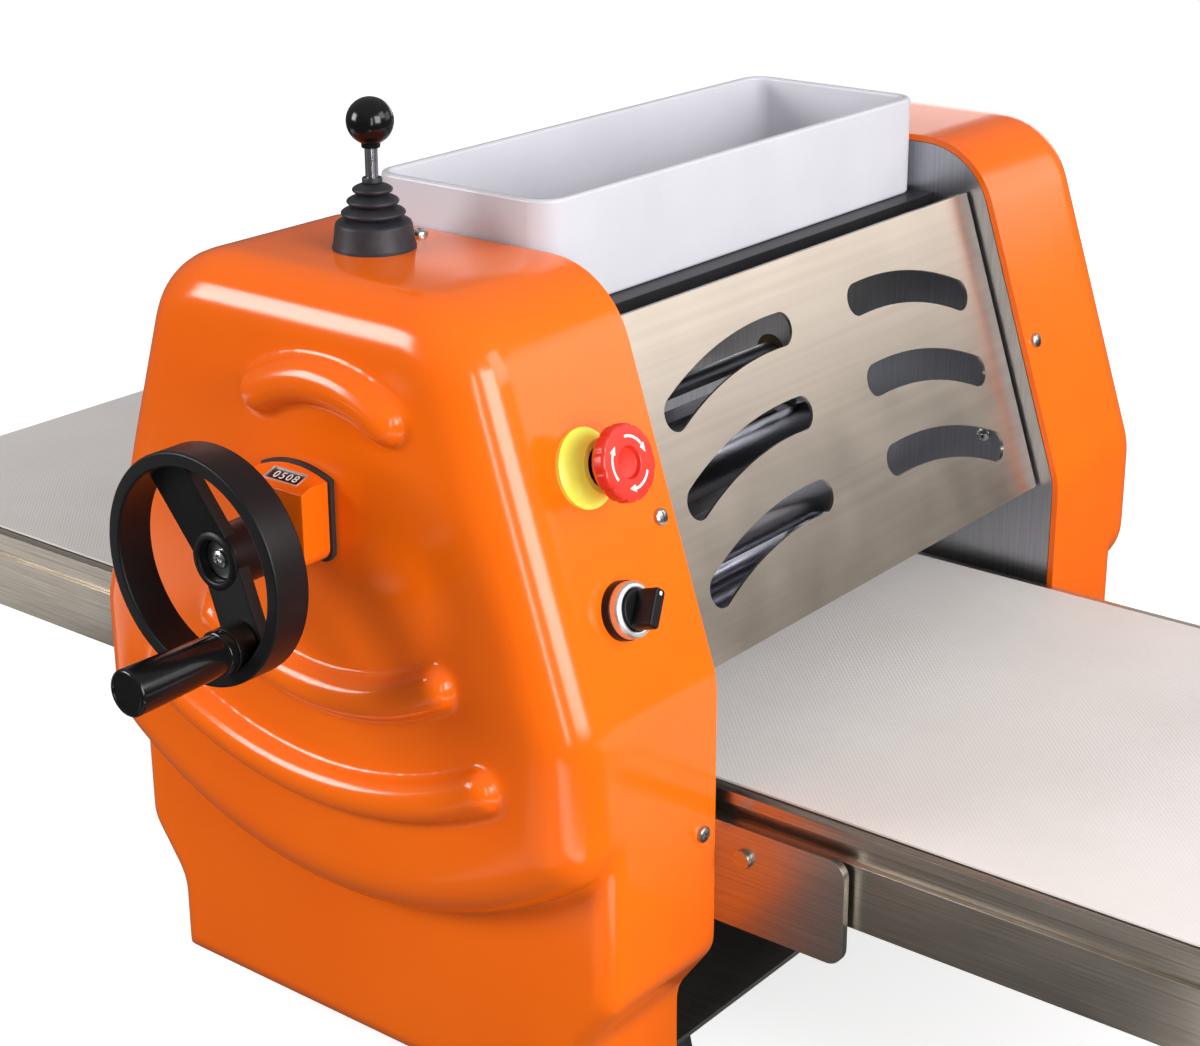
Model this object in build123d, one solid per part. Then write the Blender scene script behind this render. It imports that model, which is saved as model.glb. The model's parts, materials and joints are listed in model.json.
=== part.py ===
"""Tabletop dough sheeter: two moulded covers, a pair of rollers and two conveyor wings.

Lengths are millimetres. X runs along the conveyors, Y along the rollers and Z up. The pieces are
drawn with Z = 0 on the belts' top face and moved to the finished origin when they are written.
"""
import math
import os

from build123d import *

# Stand, covers and side plates
BELT_HEIGHT = 205.0
FOOT_HEIGHT = 25.0
FOOT_RADIUS = 20.0
FOOT_TAPER = 4.0
FOOT_CHAMFER = 3.0
FOOT_END_INSET = 4.0
FOOT_SIDE_INSET = 8.0
INNER_WIDTH = 380.0
COVER_HALF_WIDTH = 182.0
COVER_DEPTH = 122.0
COVER_TOP = 282.0
COVER_WALL = 4.0
COVER_EDGE_RADIUS = 30.0
COVER_CORNER_RADIUS = 54.0
KINK_HEIGHT = 67.0
KINK_RADIUS = 50.0
SLANT = 18.4
WAIST_TOP = -95.0
WAIST_BOTTOM = -130.0
WAIST_INSET = 25.0
WAIST_RADIUS = 25.0
SKIRT_SETBACK = 30.0
SKIRT_EDGE_RADIUS = 14.0
BELLY_RADIUS = 278.0
BELLY_LOW = -77.0
BELLY_CORNER_RADIUS = 34.0
RIB_WIDTH = 24.0
RIB_RISE = 8.0
RIB_CENTRE_X = 20.0
HIGH_RIB_CENTRE = 212.0
HIGH_RIB_RADIUS = 148.0
HIGH_RIB_START = -112.0
HIGH_RIB_SWEEP = 54.0
LOW_RIB_CENTRE = 192.0
LOW_RIB_RADIUS = 190.0
LOW_RIB_START = -125.0
LOW_RIB_SWEEP = 70.0
ARCH_RIB_RADIUS = 84.0
ARCH_RIB_START = 58.0
ARCH_RIB_SWEEP = 64.0
PLATE_THICKNESS = 6.0
PLATE_CLEARANCE = 0.4
SCREW_HEAD_RADIUS = 4.8
SCREW_HEAD_RISE = 3.0
SCREW_RADIUS = 2.0
SCREW_HOLE_CLEARANCE = 0.2
SCREW_GRIP = 6.0
SCREW_INSET = 12.0
SHOULDER_SCREW_ALONG = 93.5
SIDE_SCREW_Z = -20.0
BRACKET_LENGTH = 14.0
BRACKET_DEPTH = 12.0
PAN_THICKNESS = 3.0
PAN_HALF_LENGTH = 148.0
PAN_FLANGE = 30.0
TIE_ROD_RADIUS = 8.0
TIE_ROD_X = 58.0
TIE_ROD_Z = 222.0
LOW_TIE_ROD_X = 100.0
LOW_TIE_ROD_Z = -130.0
FIT_CLEARANCE = 0.05
FACE_CLEARANCE = 0.3
HOLE_CLEARANCE = 1.0
BUSH_WALL = 5.0
BUSH_FLANGE_EXTRA = 4.0
BUSH_FLANGE = 3.0
JACKSHAFT_BUSH = 14.0

# Rollers and the gap drive
ROLLER_RADIUS = 38.0
ROLLER_SIDE_GAP = 7.0
ROLLER_AXLE_RADIUS = 12.5
ROLLER_GAP = 12.0
GAP_DOWN = 11.0
GAP_UP = 22.0
BLOCK_HALF_WIDTH = 32.0
BLOCK_HALF_HEIGHT = 30.0
BLOCK_FLANGE = 8.0
BLOCK_FLANGE_EXTRA = 8.0
BLOCK_CHAMFER = 10.0
SLOT_END_ROOM = 3.0
AXLE_STEP = 2.5
BEARING_RADIUS = 30.0
BEARING_DEPTH = 12.0
SCRAPER_THICKNESS = 3.0
SCRAPER_REACH = 34.0
SCRAPER_BAR = 12.0
SCRAPER_BEVEL = 2.0
SCRAPER_END_GAP = 6.0
SCRAPER_ARM = 5.0
SCRAPER_ARM_SEAT = 18.0
SCRAPER_ARM_LOW = 10.0
SCRAPER_ARM_HIGH = 28.0
UPPER_SCRAPER_CONTACT = 40.0
UPPER_SCRAPER_ANGLE = 15.0
LOWER_SCRAPER_CONTACT = -65.0
LOWER_SCRAPER_ANGLE = -60.0
TOOTH_ADDENDUM = 0.8
TOOTH_DEDENDUM = 1.2
TOOTH_ROOT_HALF = 0.33
TOOTH_TIP_HALF = 0.11
SHAFT_END = 2.0
GAP_MODULE = 2.0
GAP_PINION_TEETH = 14
GAP_WHEEL_TEETH = 42
RACK_PINION_TEETH = 12
GAP_SHAFT_RADIUS = 6.0
GAP_SHAFT_X = -46.0
RACK_THICKNESS = 10.0
RACK_BODY = 12.0
RACK_TOP = 150.0
GAP_GEAR_WIDTH = 10.0
GEAR_PLANE_GAP = 4.0

# Handwheel and position counter
HANDWHEEL_HEIGHT = 148.0
HANDWHEEL_RADIUS = 62.0
HANDWHEEL_RIM = 8.0
HANDWHEEL_WIDTH = 22.0
HANDWHEEL_STANDOFF = 56.0
RIM_EDGE_RADIUS = 2.5
SPOKE_WIDTH = 28.0
SPOKE_THICKNESS = 8.0
SPOKE_ANGLE = -60.0
SPOKE_DISH = 8.0
HUB_RADIUS = 16.5
HUB_RISE = 7.0
HUB_BACK = 22.0
HUB_RECESS_RADIUS = 11.0
HUB_SEAT = 1.0
HUB_WASHER = 2.0
HUB_SCREW_RADIUS = 5.0
HUB_SCREW_HEAD = 3.0
HUB_SCREW_CROWN = 0.6
GRIP_OFFSET = 43.5
GRIP_LENGTH = 64.0
GRIP_RADIUS = 12.4
GRIP_NECK_RADIUS = 10.8
GRIP_COLLAR = 5.0
GRIP_END_RADIUS = 4.0
GRIP_BOSS_RADIUS = 12.0
GRIP_BOSS_RISE = 0.5
GRIP_SPINDLE_RADIUS = 4.0
GRIP_SPINDLE_SINK = 8.0
GRIP_CAP = 7.0
COUNTER_HALF_WIDTH = 24.0
COUNTER_DEPTH = 19.0
COUNTER_RISE = 36.0
COUNTER_ARCH_RADIUS = 62.0
COUNTER_DROP = 13.0
COUNTER_CORNER_RADIUS = 8.0
COUNTER_SLOPE_DROP = 7.0
COUNTER_EDGE_RADIUS = 1.5
WINDOW_X = 3.0
WINDOW_HALF_WIDTH = 13.0
WINDOW_HALF_DEPTH = 5.5
WINDOW_THICKNESS = 1.0
GASKET_THICKNESS = 3.0
GASKET_MARGIN = 1.5
SHAFT_PASSAGE = 1.0
SHAFT_COVER_GAP = 6.0

# Direction lever, emergency stop and selector
LEVER_X = -12.0
LEVER_INSET = 47.0
LEVER_BALL_RADIUS = 12.7
LEVER_BALL_HEIGHT = 68.0
LEVER_ROD_RADIUS = 3.5
LEVER_PIVOT_DEPTH = 14.0
LEVER_PIN_RADIUS = 3.0
LEVER_PIN_LENGTH = 40.0
LEVER_EYE_RADIUS = 6.0
LEVER_SWITCH_LENGTH = 52.0
LEVER_SWITCH_WIDTH = 46.0
LEVER_SWITCH_HEIGHT = 44.0
LEVER_WELL_DEPTH = 32.0
LEVER_HOLE_RADIUS = 14.0
BALL_NECK = 1.5
BALL_NECK_HEIGHT = 3.0
BELLOWS_RADIUS = 22.6
BELLOWS_HEIGHT = 38.0
BELLOWS_SKIRT = 14.0
BELLOWS_SKIRT_TAPER = 2.2
BELLOWS_SHOULDER = 2.5
BELLOWS_FOLDS = 3
BELLOWS_FOLD_RADIUS = 17.2
BELLOWS_FOLD_STEP = 3.2
BELLOWS_FOLD_HEIGHT = 6.2
BELLOWS_GROOVE = 3.6
BELLOWS_COLLAR_RADIUS = 5.4
BELLOWS_LINING = 2.0
SWITCH_INSET = 59.0
ESTOP_ALONG = 133.0
SELECTOR_ALONG = 57.5
SWITCH_RADIUS = 11.0
SWITCH_DEPTH = 40.0
SWITCH_PROUD = 5.0
SWITCH_FLOOR = 8.0
SWITCH_NUT = 6.0
SWITCH_NUT_EXTRA = 4.0
SWITCH_HOLE_CLEARANCE = 0.2
ESTOP_HEAD_RADIUS = 20.0
ESTOP_STANDOFF = 19.0
ESTOP_HEAD_DEPTH = 12.0
ESTOP_SOCKET = 6.0
ESTOP_BASE_RADIUS = 15.5
ESTOP_FLANK_START = 4.0
ESTOP_FLANK_END = 9.5
ESTOP_FACE_RADIUS = 17.5
ESTOP_DISH_RADIUS = 7.5
ESTOP_DISH_DEPTH = 2.5
ESTOP_STEM_RADIUS = 6.5
COLLAR_RADIUS = 21.0
COLLAR_RIM = 2.0
COLLAR_DEPTH = 13.0
COLLAR_NECK_RADIUS = 14.2
COLLAR_FLARE_RADIUS = 16.4
COLLAR_FLARE = 6.5
BEZEL_BASE_RADIUS = 15.5
BEZEL_BASE = 3.5
BEZEL_RADIUS = 14.8
BEZEL_CHAMFER = 1.2
BEZEL_DEPTH = 9.0
KNOB_DEPTH = 22.0
KNOB_DISC = 2.0
KNOB_BAR_WIDTH = 7.5
KNOB_EDGE_RADIUS = 1.5
KNOB_ANGLE = -38.0
KNOB_SHAFT_RADIUS = 5.0

# Flour tray, top panel and guards
TRAY_OFFSET = 3.0
TRAY_SIDE_GAP = 2.0
TRAY_WIDTH = 129.0
TRAY_BOTTOM = 246.0
TRAY_DEPTH = 62.0
TRAY_WALL = 5.0
TRAY_RIM_RADIUS = 2.0
TRAY_CORNER_RADIUS = 16.0
TOP_PANEL_HALF = 80.0
TOP_PANEL_THICKNESS = 4.0
TOP_PANEL_FLANGE = 14.0
GUARD_TOP_X = 105.4
GUARD_TOP = 249.8
GUARD_LENGTH = 197.0
GUARD_SIDE_GAP = 3.0
GUARD_THICKNESS = 2.0
GUARD_FLANGE = 14.0
GUARD_LIP = 7.0
GUARD_PIVOT_DOWN = 12.0
GUARD_PIVOT_IN = 8.0
GUARD_PIVOT_RADIUS = 4.0
GUARD_PIVOT_HEAD = 3.0
GUARD_PIVOT_HEAD_EXTRA = 2.0
SLOT_WIDTH = 20.0
SLOT_RADIUS = 230.0
SLOT_CENTRE = 52.0
SLOT_INNER = 40.0
SLOT_END_MARGIN = 37.0
SLOT_TOP = 38.0
SLOT_PITCH = 50.0
SLOT_ROWS = 3

# Conveyors
BELT_SIDE_GAP = 16.0
BELT_OVERHANG = 1.0
BELT_THICKNESS = 2.0
BELT_END = 624.0
DRIVE_ROLLER_X = 72.0
DRIVE_ROLLER_RADIUS = 25.0
DRIVE_SHAFT_RADIUS = 8.0
TAIL_ROLLER_RADIUS = 20.0
TAIL_SHAFT_RADIUS = 6.0
RAIL_THICKNESS = 6.5
RAIL_DEPTH = 57.0
RAIL_GROOVE_TOP = 9.0
RAIL_GROOVE_HEIGHT = 10.0
RAIL_GROOVE_DEPTH = 3.5
RAIL_GROOVE_INSET = 24.0
RAIL_HEAD_TAPER = 24.0
RAIL_TAIL_TAPER = 42.0
RAIL_GAP = 1.5
BED_THICKNESS = 2.0
BED_END_GAP = 6.0
BED_FLANGE = 14.0
BED_FLANGE_INSET = 8.0
WING_BRACKET_END = 265.0
WING_BRACKET_START = 118.0
WING_BRACKET_TOP = -16.0
WING_BRACKET_LOW = -78.0
WING_BRACKET_THICKNESS = 5.0
WING_BRACKET_CORNER = 10.0
REST_PIN_OUT = 19.0
REST_PIN_Z = -34.0
REST_PIN_RADIUS = 4.0
REST_PIN_CLEARANCE = 0.1
REST_PIN_TIP_GAP = 1.0
REST_PIN_HEAD = 3.0
REST_PIN_HEAD_RADIUS = 5.5

# Motor, chains and gears
MOTOR_X = -95.0
MOTOR_Z = -120.0
MOTOR_RADIUS = 48.0
MOTOR_LENGTH = 240.0
MOTOR_BELL = 40.0
MOTOR_FLANGE = 16.0
MOTOR_FINS = 24
FIN_HEIGHT = 5.0
FIN_WIDTH = 2.5
GEARBOX_LENGTH = 70.0
GEARBOX_SIDE_GAP = 20.0
GEARBOX_CORNER = 10.0
GEARBOX_BORE = 40.0
MOTOR_SHAFT_RADIUS = 9.0
CHAIN_PITCH = 9.525
CHAIN_HALF_HEIGHT = 3.0
CHAIN_PLATE = 1.5
CHAIN_PIN_RADIUS = 1.6
CHAIN_SEAT_RADIUS = 3.15
CHAIN_TOOTH = 2.4
CHAIN_FREE_GAP = 7.2
SPROCKET_WIDTH = 5.0
SPROCKET_CLEARANCE = 0.5
MOTOR_SPROCKET_TEETH = 14
MAIN_SPROCKET_TEETH = 24
WING_SPROCKET_TEETH = 15
TABLE_SPROCKET_TEETH = 22
UPPER_SPROCKET_TEETH = 16
ROLLER_GEAR_MODULE = 3.0
ROLLER_GEAR_TEETH = 45
ROLLER_GEAR_WIDTH = 8.0
JACKSHAFT_RADIUS = 8.0
JACKSHAFT_Z = 55.0

# Places worked out from the driving dimensions
HALF = INNER_WIDTH / 2
ROLLER_LENGTH = INNER_WIDTH - 2 * ROLLER_SIDE_GAP
TRAY_LENGTH = INNER_WIDTH - 2 * TRAY_SIDE_GAP
GUARD_WIDTH = INNER_WIDTH - 2 * GUARD_SIDE_GAP
SLOT_OUTER = GUARD_WIDTH / 2 - SLOT_END_MARGIN
BELT_WIDTH = INNER_WIDTH - 2 * BELT_SIDE_GAP
MOTOR_END = HALF - GEARBOX_SIDE_GAP - GEARBOX_LENGTH
MOTOR_START = MOTOR_END - MOTOR_LENGTH
PLATE_OUT = HALF + PLATE_THICKNESS
COVER_OUT = HALF + COVER_DEPTH
SKIRT_OUT = COVER_OUT - SKIRT_SETBACK
COVER_BOTTOM = FOOT_HEIGHT - BELT_HEIGHT
SLANT_RUN = math.tan(math.radians(SLANT))
LOWER_Z = -ROLLER_RADIUS
UPPER_Z = ROLLER_GAP + ROLLER_RADIUS
DRIVE_ROLLER_Z = -DRIVE_ROLLER_RADIUS - BELT_THICKNESS
TAIL_ROLLER_Z = -TAIL_ROLLER_RADIUS - BELT_THICKNESS
TAIL_ROLLER_X = BELT_END - TAIL_ROLLER_RADIUS - BELT_THICKNESS
RAIL_IN = BELT_WIDTH / 2 + RAIL_GAP
RAIL_OUT = RAIL_IN + RAIL_THICKNESS
RACK_IN = PLATE_OUT + BLOCK_FLANGE
RACK_OUT = RACK_IN + RACK_THICKNESS
GAP_GEAR_IN = RACK_OUT + GEAR_PLANE_GAP
GAP_GEAR_OUT = GAP_GEAR_IN + GAP_GEAR_WIDTH
GAP_CENTRES = GAP_MODULE * (GAP_PINION_TEETH + GAP_WHEEL_TEETH) / 2
GAP_SHAFT_Z = HANDWHEEL_HEIGHT - math.sqrt(GAP_CENTRES ** 2 - GAP_SHAFT_X ** 2)
RACK_LINE_X = GAP_SHAFT_X + GAP_MODULE * RACK_PINION_TEETH / 2
GEAR_CENTRES = ROLLER_GEAR_MODULE * ROLLER_GEAR_TEETH
JACKSHAFT_X = -math.sqrt(GEAR_CENTRES ** 2 - (JACKSHAFT_Z - LOWER_Z) ** 2)
UPPER_CHAIN_Y = RACK_OUT + GEAR_PLANE_GAP + SPROCKET_WIDTH / 2
ROLLER_GEAR_IN = UPPER_CHAIN_Y + SPROCKET_WIDTH + GEAR_PLANE_GAP
ROLLER_GEAR_OUT = ROLLER_GEAR_IN + ROLLER_GEAR_WIDTH
MAIN_CHAIN_Y = ROLLER_GEAR_OUT + GEAR_PLANE_GAP + SPROCKET_WIDTH / 2
TABLE_CHAIN_Y = -(PLATE_OUT + BEARING_DEPTH + GEAR_PLANE_GAP + SPROCKET_WIDTH / 2)
REST_PIN_X = COVER_HALF_WIDTH + REST_PIN_OUT
COUNTER_TOP = HANDWHEEL_HEIGHT + COUNTER_RISE
COUNTER_BOTTOM = HANDWHEEL_HEIGHT - COUNTER_DROP
HANDWHEEL_BACK = -(COVER_OUT + HANDWHEEL_STANDOFF)
GRIP_END = HANDWHEEL_BACK - HANDWHEEL_WIDTH - GRIP_LENGTH
LEVER_Y = -(HALF + LEVER_INSET)
SWITCH_Y = -(HALF + SWITCH_INSET)
ORIGIN_SHIFT = Pos(0, -(GRIP_END + COVER_OUT + RIB_RISE) / 2, BELT_HEIGHT)


def slab(sketch, y0, y1):
    """Extrude an outline drawn as (x, z) from y0 to y1."""
    return Pos(0, max(y0, y1), 0) * extrude(Plane.XZ * sketch, abs(y1 - y0))


def rod(x, z, radius, y0, y1):
    """A round bar parallel to Y."""
    return slab(Pos(x, z) * Circle(radius), y0, y1)


def tube(x, z, radius, bore, y0, y1):
    """A round sleeve parallel to Y."""
    return slab(Pos(x, z) * (Circle(radius) - Circle(bore)), y0, y1)


def block(x0, x1, y0, y1, z0, z1):
    """A box between two corners."""
    size = (abs(x1 - x0), abs(y1 - y0), abs(z1 - z0))
    return Pos((x0 + x1) / 2, (y0 + y1) / 2, (z0 + z1) / 2) * Box(*size)


def turned(points, place):
    """Revolve a (radius, height) outline about the Z axis of a plane."""
    return spun(make_face(Polyline(*points, close=True)), place)


def spun(face, place):
    """Revolve a face drawn as (radius, height) about the Z axis of a plane."""
    return place.location * revolve(Plane.XZ * face, Axis.Z)


def both_sides(shape):
    """A piece and its mirror image in the machine's centre plane, across Y."""
    return [shape, mirror(shape, about=Plane.XZ)]


def group(*pieces):
    """Separate solids that share one node."""
    solids = []
    for piece in pieces:
        solids.extend(piece.solids())
    return Compound(solids)


def slant_plane(along, y, offset=0.0):
    """A plane on the +X slanted face: x along +Y, y up the slope, z outward."""
    angle = math.radians(SLANT)
    normal = Vector(math.cos(angle), 0, math.sin(angle))
    up = Vector(-math.sin(angle), 0, math.cos(angle))
    origin = Vector(COVER_HALF_WIDTH, y, KINK_HEIGHT) + up * along + normal * offset
    return Plane(origin=origin, x_dir=(0, 1, 0), z_dir=normal)


def cover_outline():
    """The covers' side profile: foot, waist, upright sides, slanted shoulders and flat top."""
    foot = COVER_HALF_WIDTH - WAIST_INSET
    top = COVER_HALF_WIDTH - SLANT_RUN * (COVER_TOP - KINK_HEIGHT)
    right = [(foot, COVER_BOTTOM), (foot, WAIST_BOTTOM), (COVER_HALF_WIDTH, WAIST_TOP),
             (COVER_HALF_WIDTH, KINK_HEIGHT), (top, COVER_TOP)]
    left = [(-x, z) for x, z in reversed(right)]
    face = make_face(Polyline(*right, *left, close=True))
    rounded = {WAIST_BOTTOM: WAIST_RADIUS, WAIST_TOP: WAIST_RADIUS, KINK_HEIGHT: KINK_RADIUS,
               COVER_TOP: COVER_CORNER_RADIUS}
    for height, radius in rounded.items():
        corners = [v for v in face.vertices() if abs(v.Y - height) < 0.01]
        face = fillet(corners, radius)
    return face


def cover_body(inset):
    """One cover on the -Y side as a solid, drawn in by inset on every outer face."""
    outline = cover_outline()
    if inset:
        outline = offset(outline, -inset, kind=Kind.INTERSECTION)
    belly_centre = BELLY_LOW + BELLY_RADIUS
    belly = outline & (Pos(0, belly_centre) * Circle(BELLY_RADIUS - inset))
    low = [v for v in belly.vertices() if v.Y < KINK_HEIGHT - KINK_RADIUS]
    belly = fillet(low, BELLY_CORNER_RADIUS)
    upper = slab(belly, -COVER_OUT + inset, -HALF)
    upper = fillet(upper.faces().sort_by(Axis.Y)[0].edges(), COVER_EDGE_RADIUS - inset)
    lower = slab(outline, -SKIRT_OUT + inset, -HALF)
    lower = fillet(lower.faces().sort_by(Axis.Y)[0].edges(), SKIRT_EDGE_RADIUS - inset)
    return upper + lower


def arc_rib(centre_z, radius, start, sweep):
    """A soft raised rib that follows an arc on the cover's outer face."""
    path = CenterArc((RIB_CENTRE_X, centre_z), radius, start, sweep)
    rib = slab(SlotArc(path, RIB_WIDTH), -COVER_OUT - RIB_RISE, -COVER_OUT + COVER_WALL / 2)
    return fillet(rib.faces().sort_by(Axis.Y)[0].edges(), RIB_RISE * 0.8)


def cover_shell():
    """The moulded shell with its two lower ribs, open towards the side plate."""
    body = cover_body(0)
    body += arc_rib(HIGH_RIB_CENTRE, HIGH_RIB_RADIUS, HIGH_RIB_START, HIGH_RIB_SWEEP)
    body += arc_rib(LOW_RIB_CENTRE, LOW_RIB_RADIUS, LOW_RIB_START, LOW_RIB_SWEEP)
    return body - cover_body(COVER_WALL)


def screw_places():
    """Planes of the cover screws on the +X side: the shoulder and the upright side."""
    inset = -(HALF + SCREW_INSET)
    upright = Plane(origin=(COVER_HALF_WIDTH, inset, SIDE_SCREW_Z), x_dir=(0, 1, 0), z_dir=(1, 0, 0))
    return [slant_plane(SHOULDER_SCREW_ALONG, inset), upright]


def all_screw_places():
    """All the cover screws of the near side, with the one on the flat top."""
    top = Plane(origin=(LEVER_X, -(HALF + SCREW_INSET), COVER_TOP), z_dir=(0, 0, 1))
    return screw_places() + [top]


def spur_gear(x, z, module, teeth, y0, y1, bore, phase):
    """A spur gear with straight flanked teeth, one of them centred on the phase angle."""
    pitch_radius = module * teeth / 2
    pitch_angle = 2 * math.pi / teeth
    root = pitch_radius - TOOTH_DEDENDUM * module
    tip = pitch_radius + TOOTH_ADDENDUM * module
    points = []
    for i in range(teeth):
        centre = math.radians(phase) + i * pitch_angle
        for radius, half in ((root, -TOOTH_ROOT_HALF), (tip, -TOOTH_TIP_HALF),
                             (tip, TOOTH_TIP_HALF), (root, TOOTH_ROOT_HALF)):
            points.append((radius, centre + half * pitch_angle))
    outline = Polyline(*[(r * math.cos(a), r * math.sin(a)) for r, a in points], close=True)
    face = make_face(outline) - Circle(bore)
    return slab(Pos(x, z) * face, y0, y1)


def sprocket_radius(teeth):
    """Pitch radius of a chain sprocket."""
    return CHAIN_PITCH / (2 * math.sin(math.pi / teeth))


def sprocket(x, z, teeth, y, bore):
    """A chain sprocket centred on the plane y, with roller seats between its teeth."""
    pitch_radius = sprocket_radius(teeth)
    face = Circle(pitch_radius + CHAIN_TOOTH) - Circle(bore)
    seats = PolarLocations(pitch_radius, teeth)
    face -= [place * Circle(CHAIN_SEAT_RADIUS) for place in seats]
    return slab(Pos(x, z) * face, y - SPROCKET_WIDTH / 2, y + SPROCKET_WIDTH / 2)


def chain_loop(wheels, y):
    """A roller chain round the wheels (x, z, teeth): two plate bands and the free runs' pins."""
    def hull(grow):
        circles = [Pos(x, z) * Circle(sprocket_radius(teeth) + grow) for x, z, teeth in wheels]
        return make_hull(Sketch(children=circles).edges())

    band = hull(CHAIN_HALF_HEIGHT) - hull(-CHAIN_HALF_HEIGHT)
    inside = SPROCKET_WIDTH / 2 + SPROCKET_CLEARANCE
    outside = inside + CHAIN_PLATE
    loop = slab(band, y + inside, y + outside) + slab(band, y - outside, y - inside)
    centre_line = hull(0).face().outer_wire()
    count = int(centre_line.length / CHAIN_PITCH)
    pins = []
    for i in range(count):
        point = centre_line.position_at(i / count)
        reach = [math.hypot(point.X - x, point.Y - z) - sprocket_radius(teeth) for x, z, teeth in wheels]
        if min(reach) > CHAIN_FREE_GAP:
            pins.append(rod(point.X, point.Y, CHAIN_PIN_RADIUS, y - inside, y + inside))
    return loop + pins


def plate_holes(side):
    """Shaft holes of a side plate, as (x, z, radius); side is -1 near the handwheel."""
    bush = DRIVE_SHAFT_RADIUS + BUSH_WALL
    gap_bush = GAP_SHAFT_RADIUS + BUSH_WALL
    holes = [(0, LOWER_Z, ROLLER_AXLE_RADIUS + HOLE_CLEARANCE), (DRIVE_ROLLER_X, DRIVE_ROLLER_Z, bush),
             (-DRIVE_ROLLER_X, DRIVE_ROLLER_Z, bush), (GAP_SHAFT_X, GAP_SHAFT_Z, gap_bush)]
    if side < 0:
        holes.append((0, HANDWHEEL_HEIGHT, gap_bush))
    else:
        holes.append((JACKSHAFT_X, JACKSHAFT_Z, JACKSHAFT_RADIUS + BUSH_WALL))
        holes.append((MOTOR_X, MOTOR_Z, MOTOR_SHAFT_RADIUS + HOLE_CLEARANCE))
    return holes


def side_plate(side):
    """A steel side plate with the guide slot of the upper roller's bearing block."""
    outline = offset(cover_outline(), -COVER_WALL - PLATE_CLEARANCE, kind=Kind.INTERSECTION)
    for x, z, radius in plate_holes(side):
        outline -= Pos(x, z) * Circle(radius)
    low = UPPER_Z - BLOCK_HALF_HEIGHT - GAP_DOWN - SLOT_END_ROOM
    high = UPPER_Z + BLOCK_HALF_HEIGHT + GAP_UP + SLOT_END_ROOM
    slot_width = 2 * BLOCK_HALF_WIDTH + 2 * FACE_CLEARANCE
    outline -= Pos(0, (low + high) / 2) * Rectangle(slot_width, high - low)
    return slab(outline, side * HALF, side * PLATE_OUT)


def shaft_bushes():
    """Flanged bushes pressed into the side plates, one for each shaft end."""
    bushes = []
    for side in (-1, 1):
        for x, z, radius in plate_holes(side):
            if x == MOTOR_X or z == LOWER_Z:
                continue
            bore = radius - BUSH_WALL + FIT_CLEARANCE
            sleeve = tube(x, z, radius, bore, side * HALF, side * PLATE_OUT)
            depth = JACKSHAFT_BUSH if x == JACKSHAFT_X else BUSH_FLANGE
            flange = tube(x, z, radius + BUSH_FLANGE_EXTRA, bore, side * PLATE_OUT,
                          side * (PLATE_OUT + depth))
            bushes.append(sleeve + flange)
    return group(*bushes)


def base_pan():
    """A folded sheet pan that ties the side plates together under the machine."""
    floor = block(-PAN_HALF_LENGTH, PAN_HALF_LENGTH, -HALF, HALF, COVER_BOTTOM,
                  COVER_BOTTOM + PAN_THICKNESS)
    wall = block(-PAN_HALF_LENGTH, PAN_HALF_LENGTH, -HALF, -HALF + PAN_THICKNESS, COVER_BOTTOM,
                 COVER_BOTTOM + PAN_FLANGE)
    return floor + both_sides(wall)


def rubber_feet():
    """Four turned rubber feet under the pan's corners."""
    x = PAN_HALF_LENGTH - FOOT_RADIUS - FOOT_END_INSET
    y = HALF - FOOT_RADIUS - FOOT_SIDE_INSET
    profile = [(0, 0), (FOOT_RADIUS - FOOT_CHAMFER, 0), (FOOT_RADIUS, FOOT_CHAMFER),
               (FOOT_RADIUS - FOOT_TAPER, FOOT_HEIGHT), (0, FOOT_HEIGHT)]
    places = [(sx * x, sy * y) for sx in (-1, 1) for sy in (-1, 1)]
    feet = [turned(profile, Plane(origin=(px, py, -BELT_HEIGHT))) for px, py in places]
    return group(*feet)


def tie_rods():
    """Round spacers that hold the side plates at their distance."""
    places = [(TIE_ROD_X, TIE_ROD_Z), (-TIE_ROD_X, TIE_ROD_Z), (LOW_TIE_ROD_X, LOW_TIE_ROD_Z)]
    return group(*[rod(x, z, TIE_ROD_RADIUS, -HALF, HALF) for x, z in places])


def top_panel():
    """The folded panel under the flour tray."""
    top = TRAY_BOTTOM
    sheet = block(-TOP_PANEL_HALF, TOP_PANEL_HALF, -HALF, HALF, top - TOP_PANEL_THICKNESS, top)
    lip = block(TOP_PANEL_HALF - TOP_PANEL_THICKNESS, TOP_PANEL_HALF, -HALF, HALF,
                top - TOP_PANEL_FLANGE, top)
    return sheet + lip + mirror(lip, about=Plane.YZ)


def near_cover():
    """The cover on the handwheel's side, with the holes of its controls and a plain arch rib."""
    shell = cover_shell()
    arch = arc_rib(HANDWHEEL_HEIGHT, ARCH_RIB_RADIUS, ARCH_RIB_START, ARCH_RIB_SWEEP)
    shell += arch - cover_body(COVER_WALL)
    hole = GAP_SHAFT_RADIUS + SHAFT_COVER_GAP
    shell -= rod(0, HANDWHEEL_HEIGHT, hole, -COVER_OUT - RIB_RISE, -SKIRT_OUT)
    shell -= Pos(LEVER_X, LEVER_Y, COVER_TOP) * Cylinder(LEVER_HOLE_RADIUS, 4 * COVER_WALL)
    for along in (ESTOP_ALONG, SELECTOR_ALONG):
        place = slant_plane(along, SWITCH_Y)
        shell -= place.location * Cylinder(SWITCH_RADIUS + SWITCH_HOLE_CLEARANCE, 4 * COVER_WALL)
    return shell - screw_holes()


def screw_holes():
    """The near cover's screw holes."""
    drill = Cylinder(SCREW_RADIUS + SCREW_HOLE_CLEARANCE, 4 * BRACKET_DEPTH)
    holes = [place.location * drill for place in all_screw_places()]
    holes += [mirror(place.location * drill, about=Plane.YZ) for place in screw_places()]
    return holes


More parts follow.
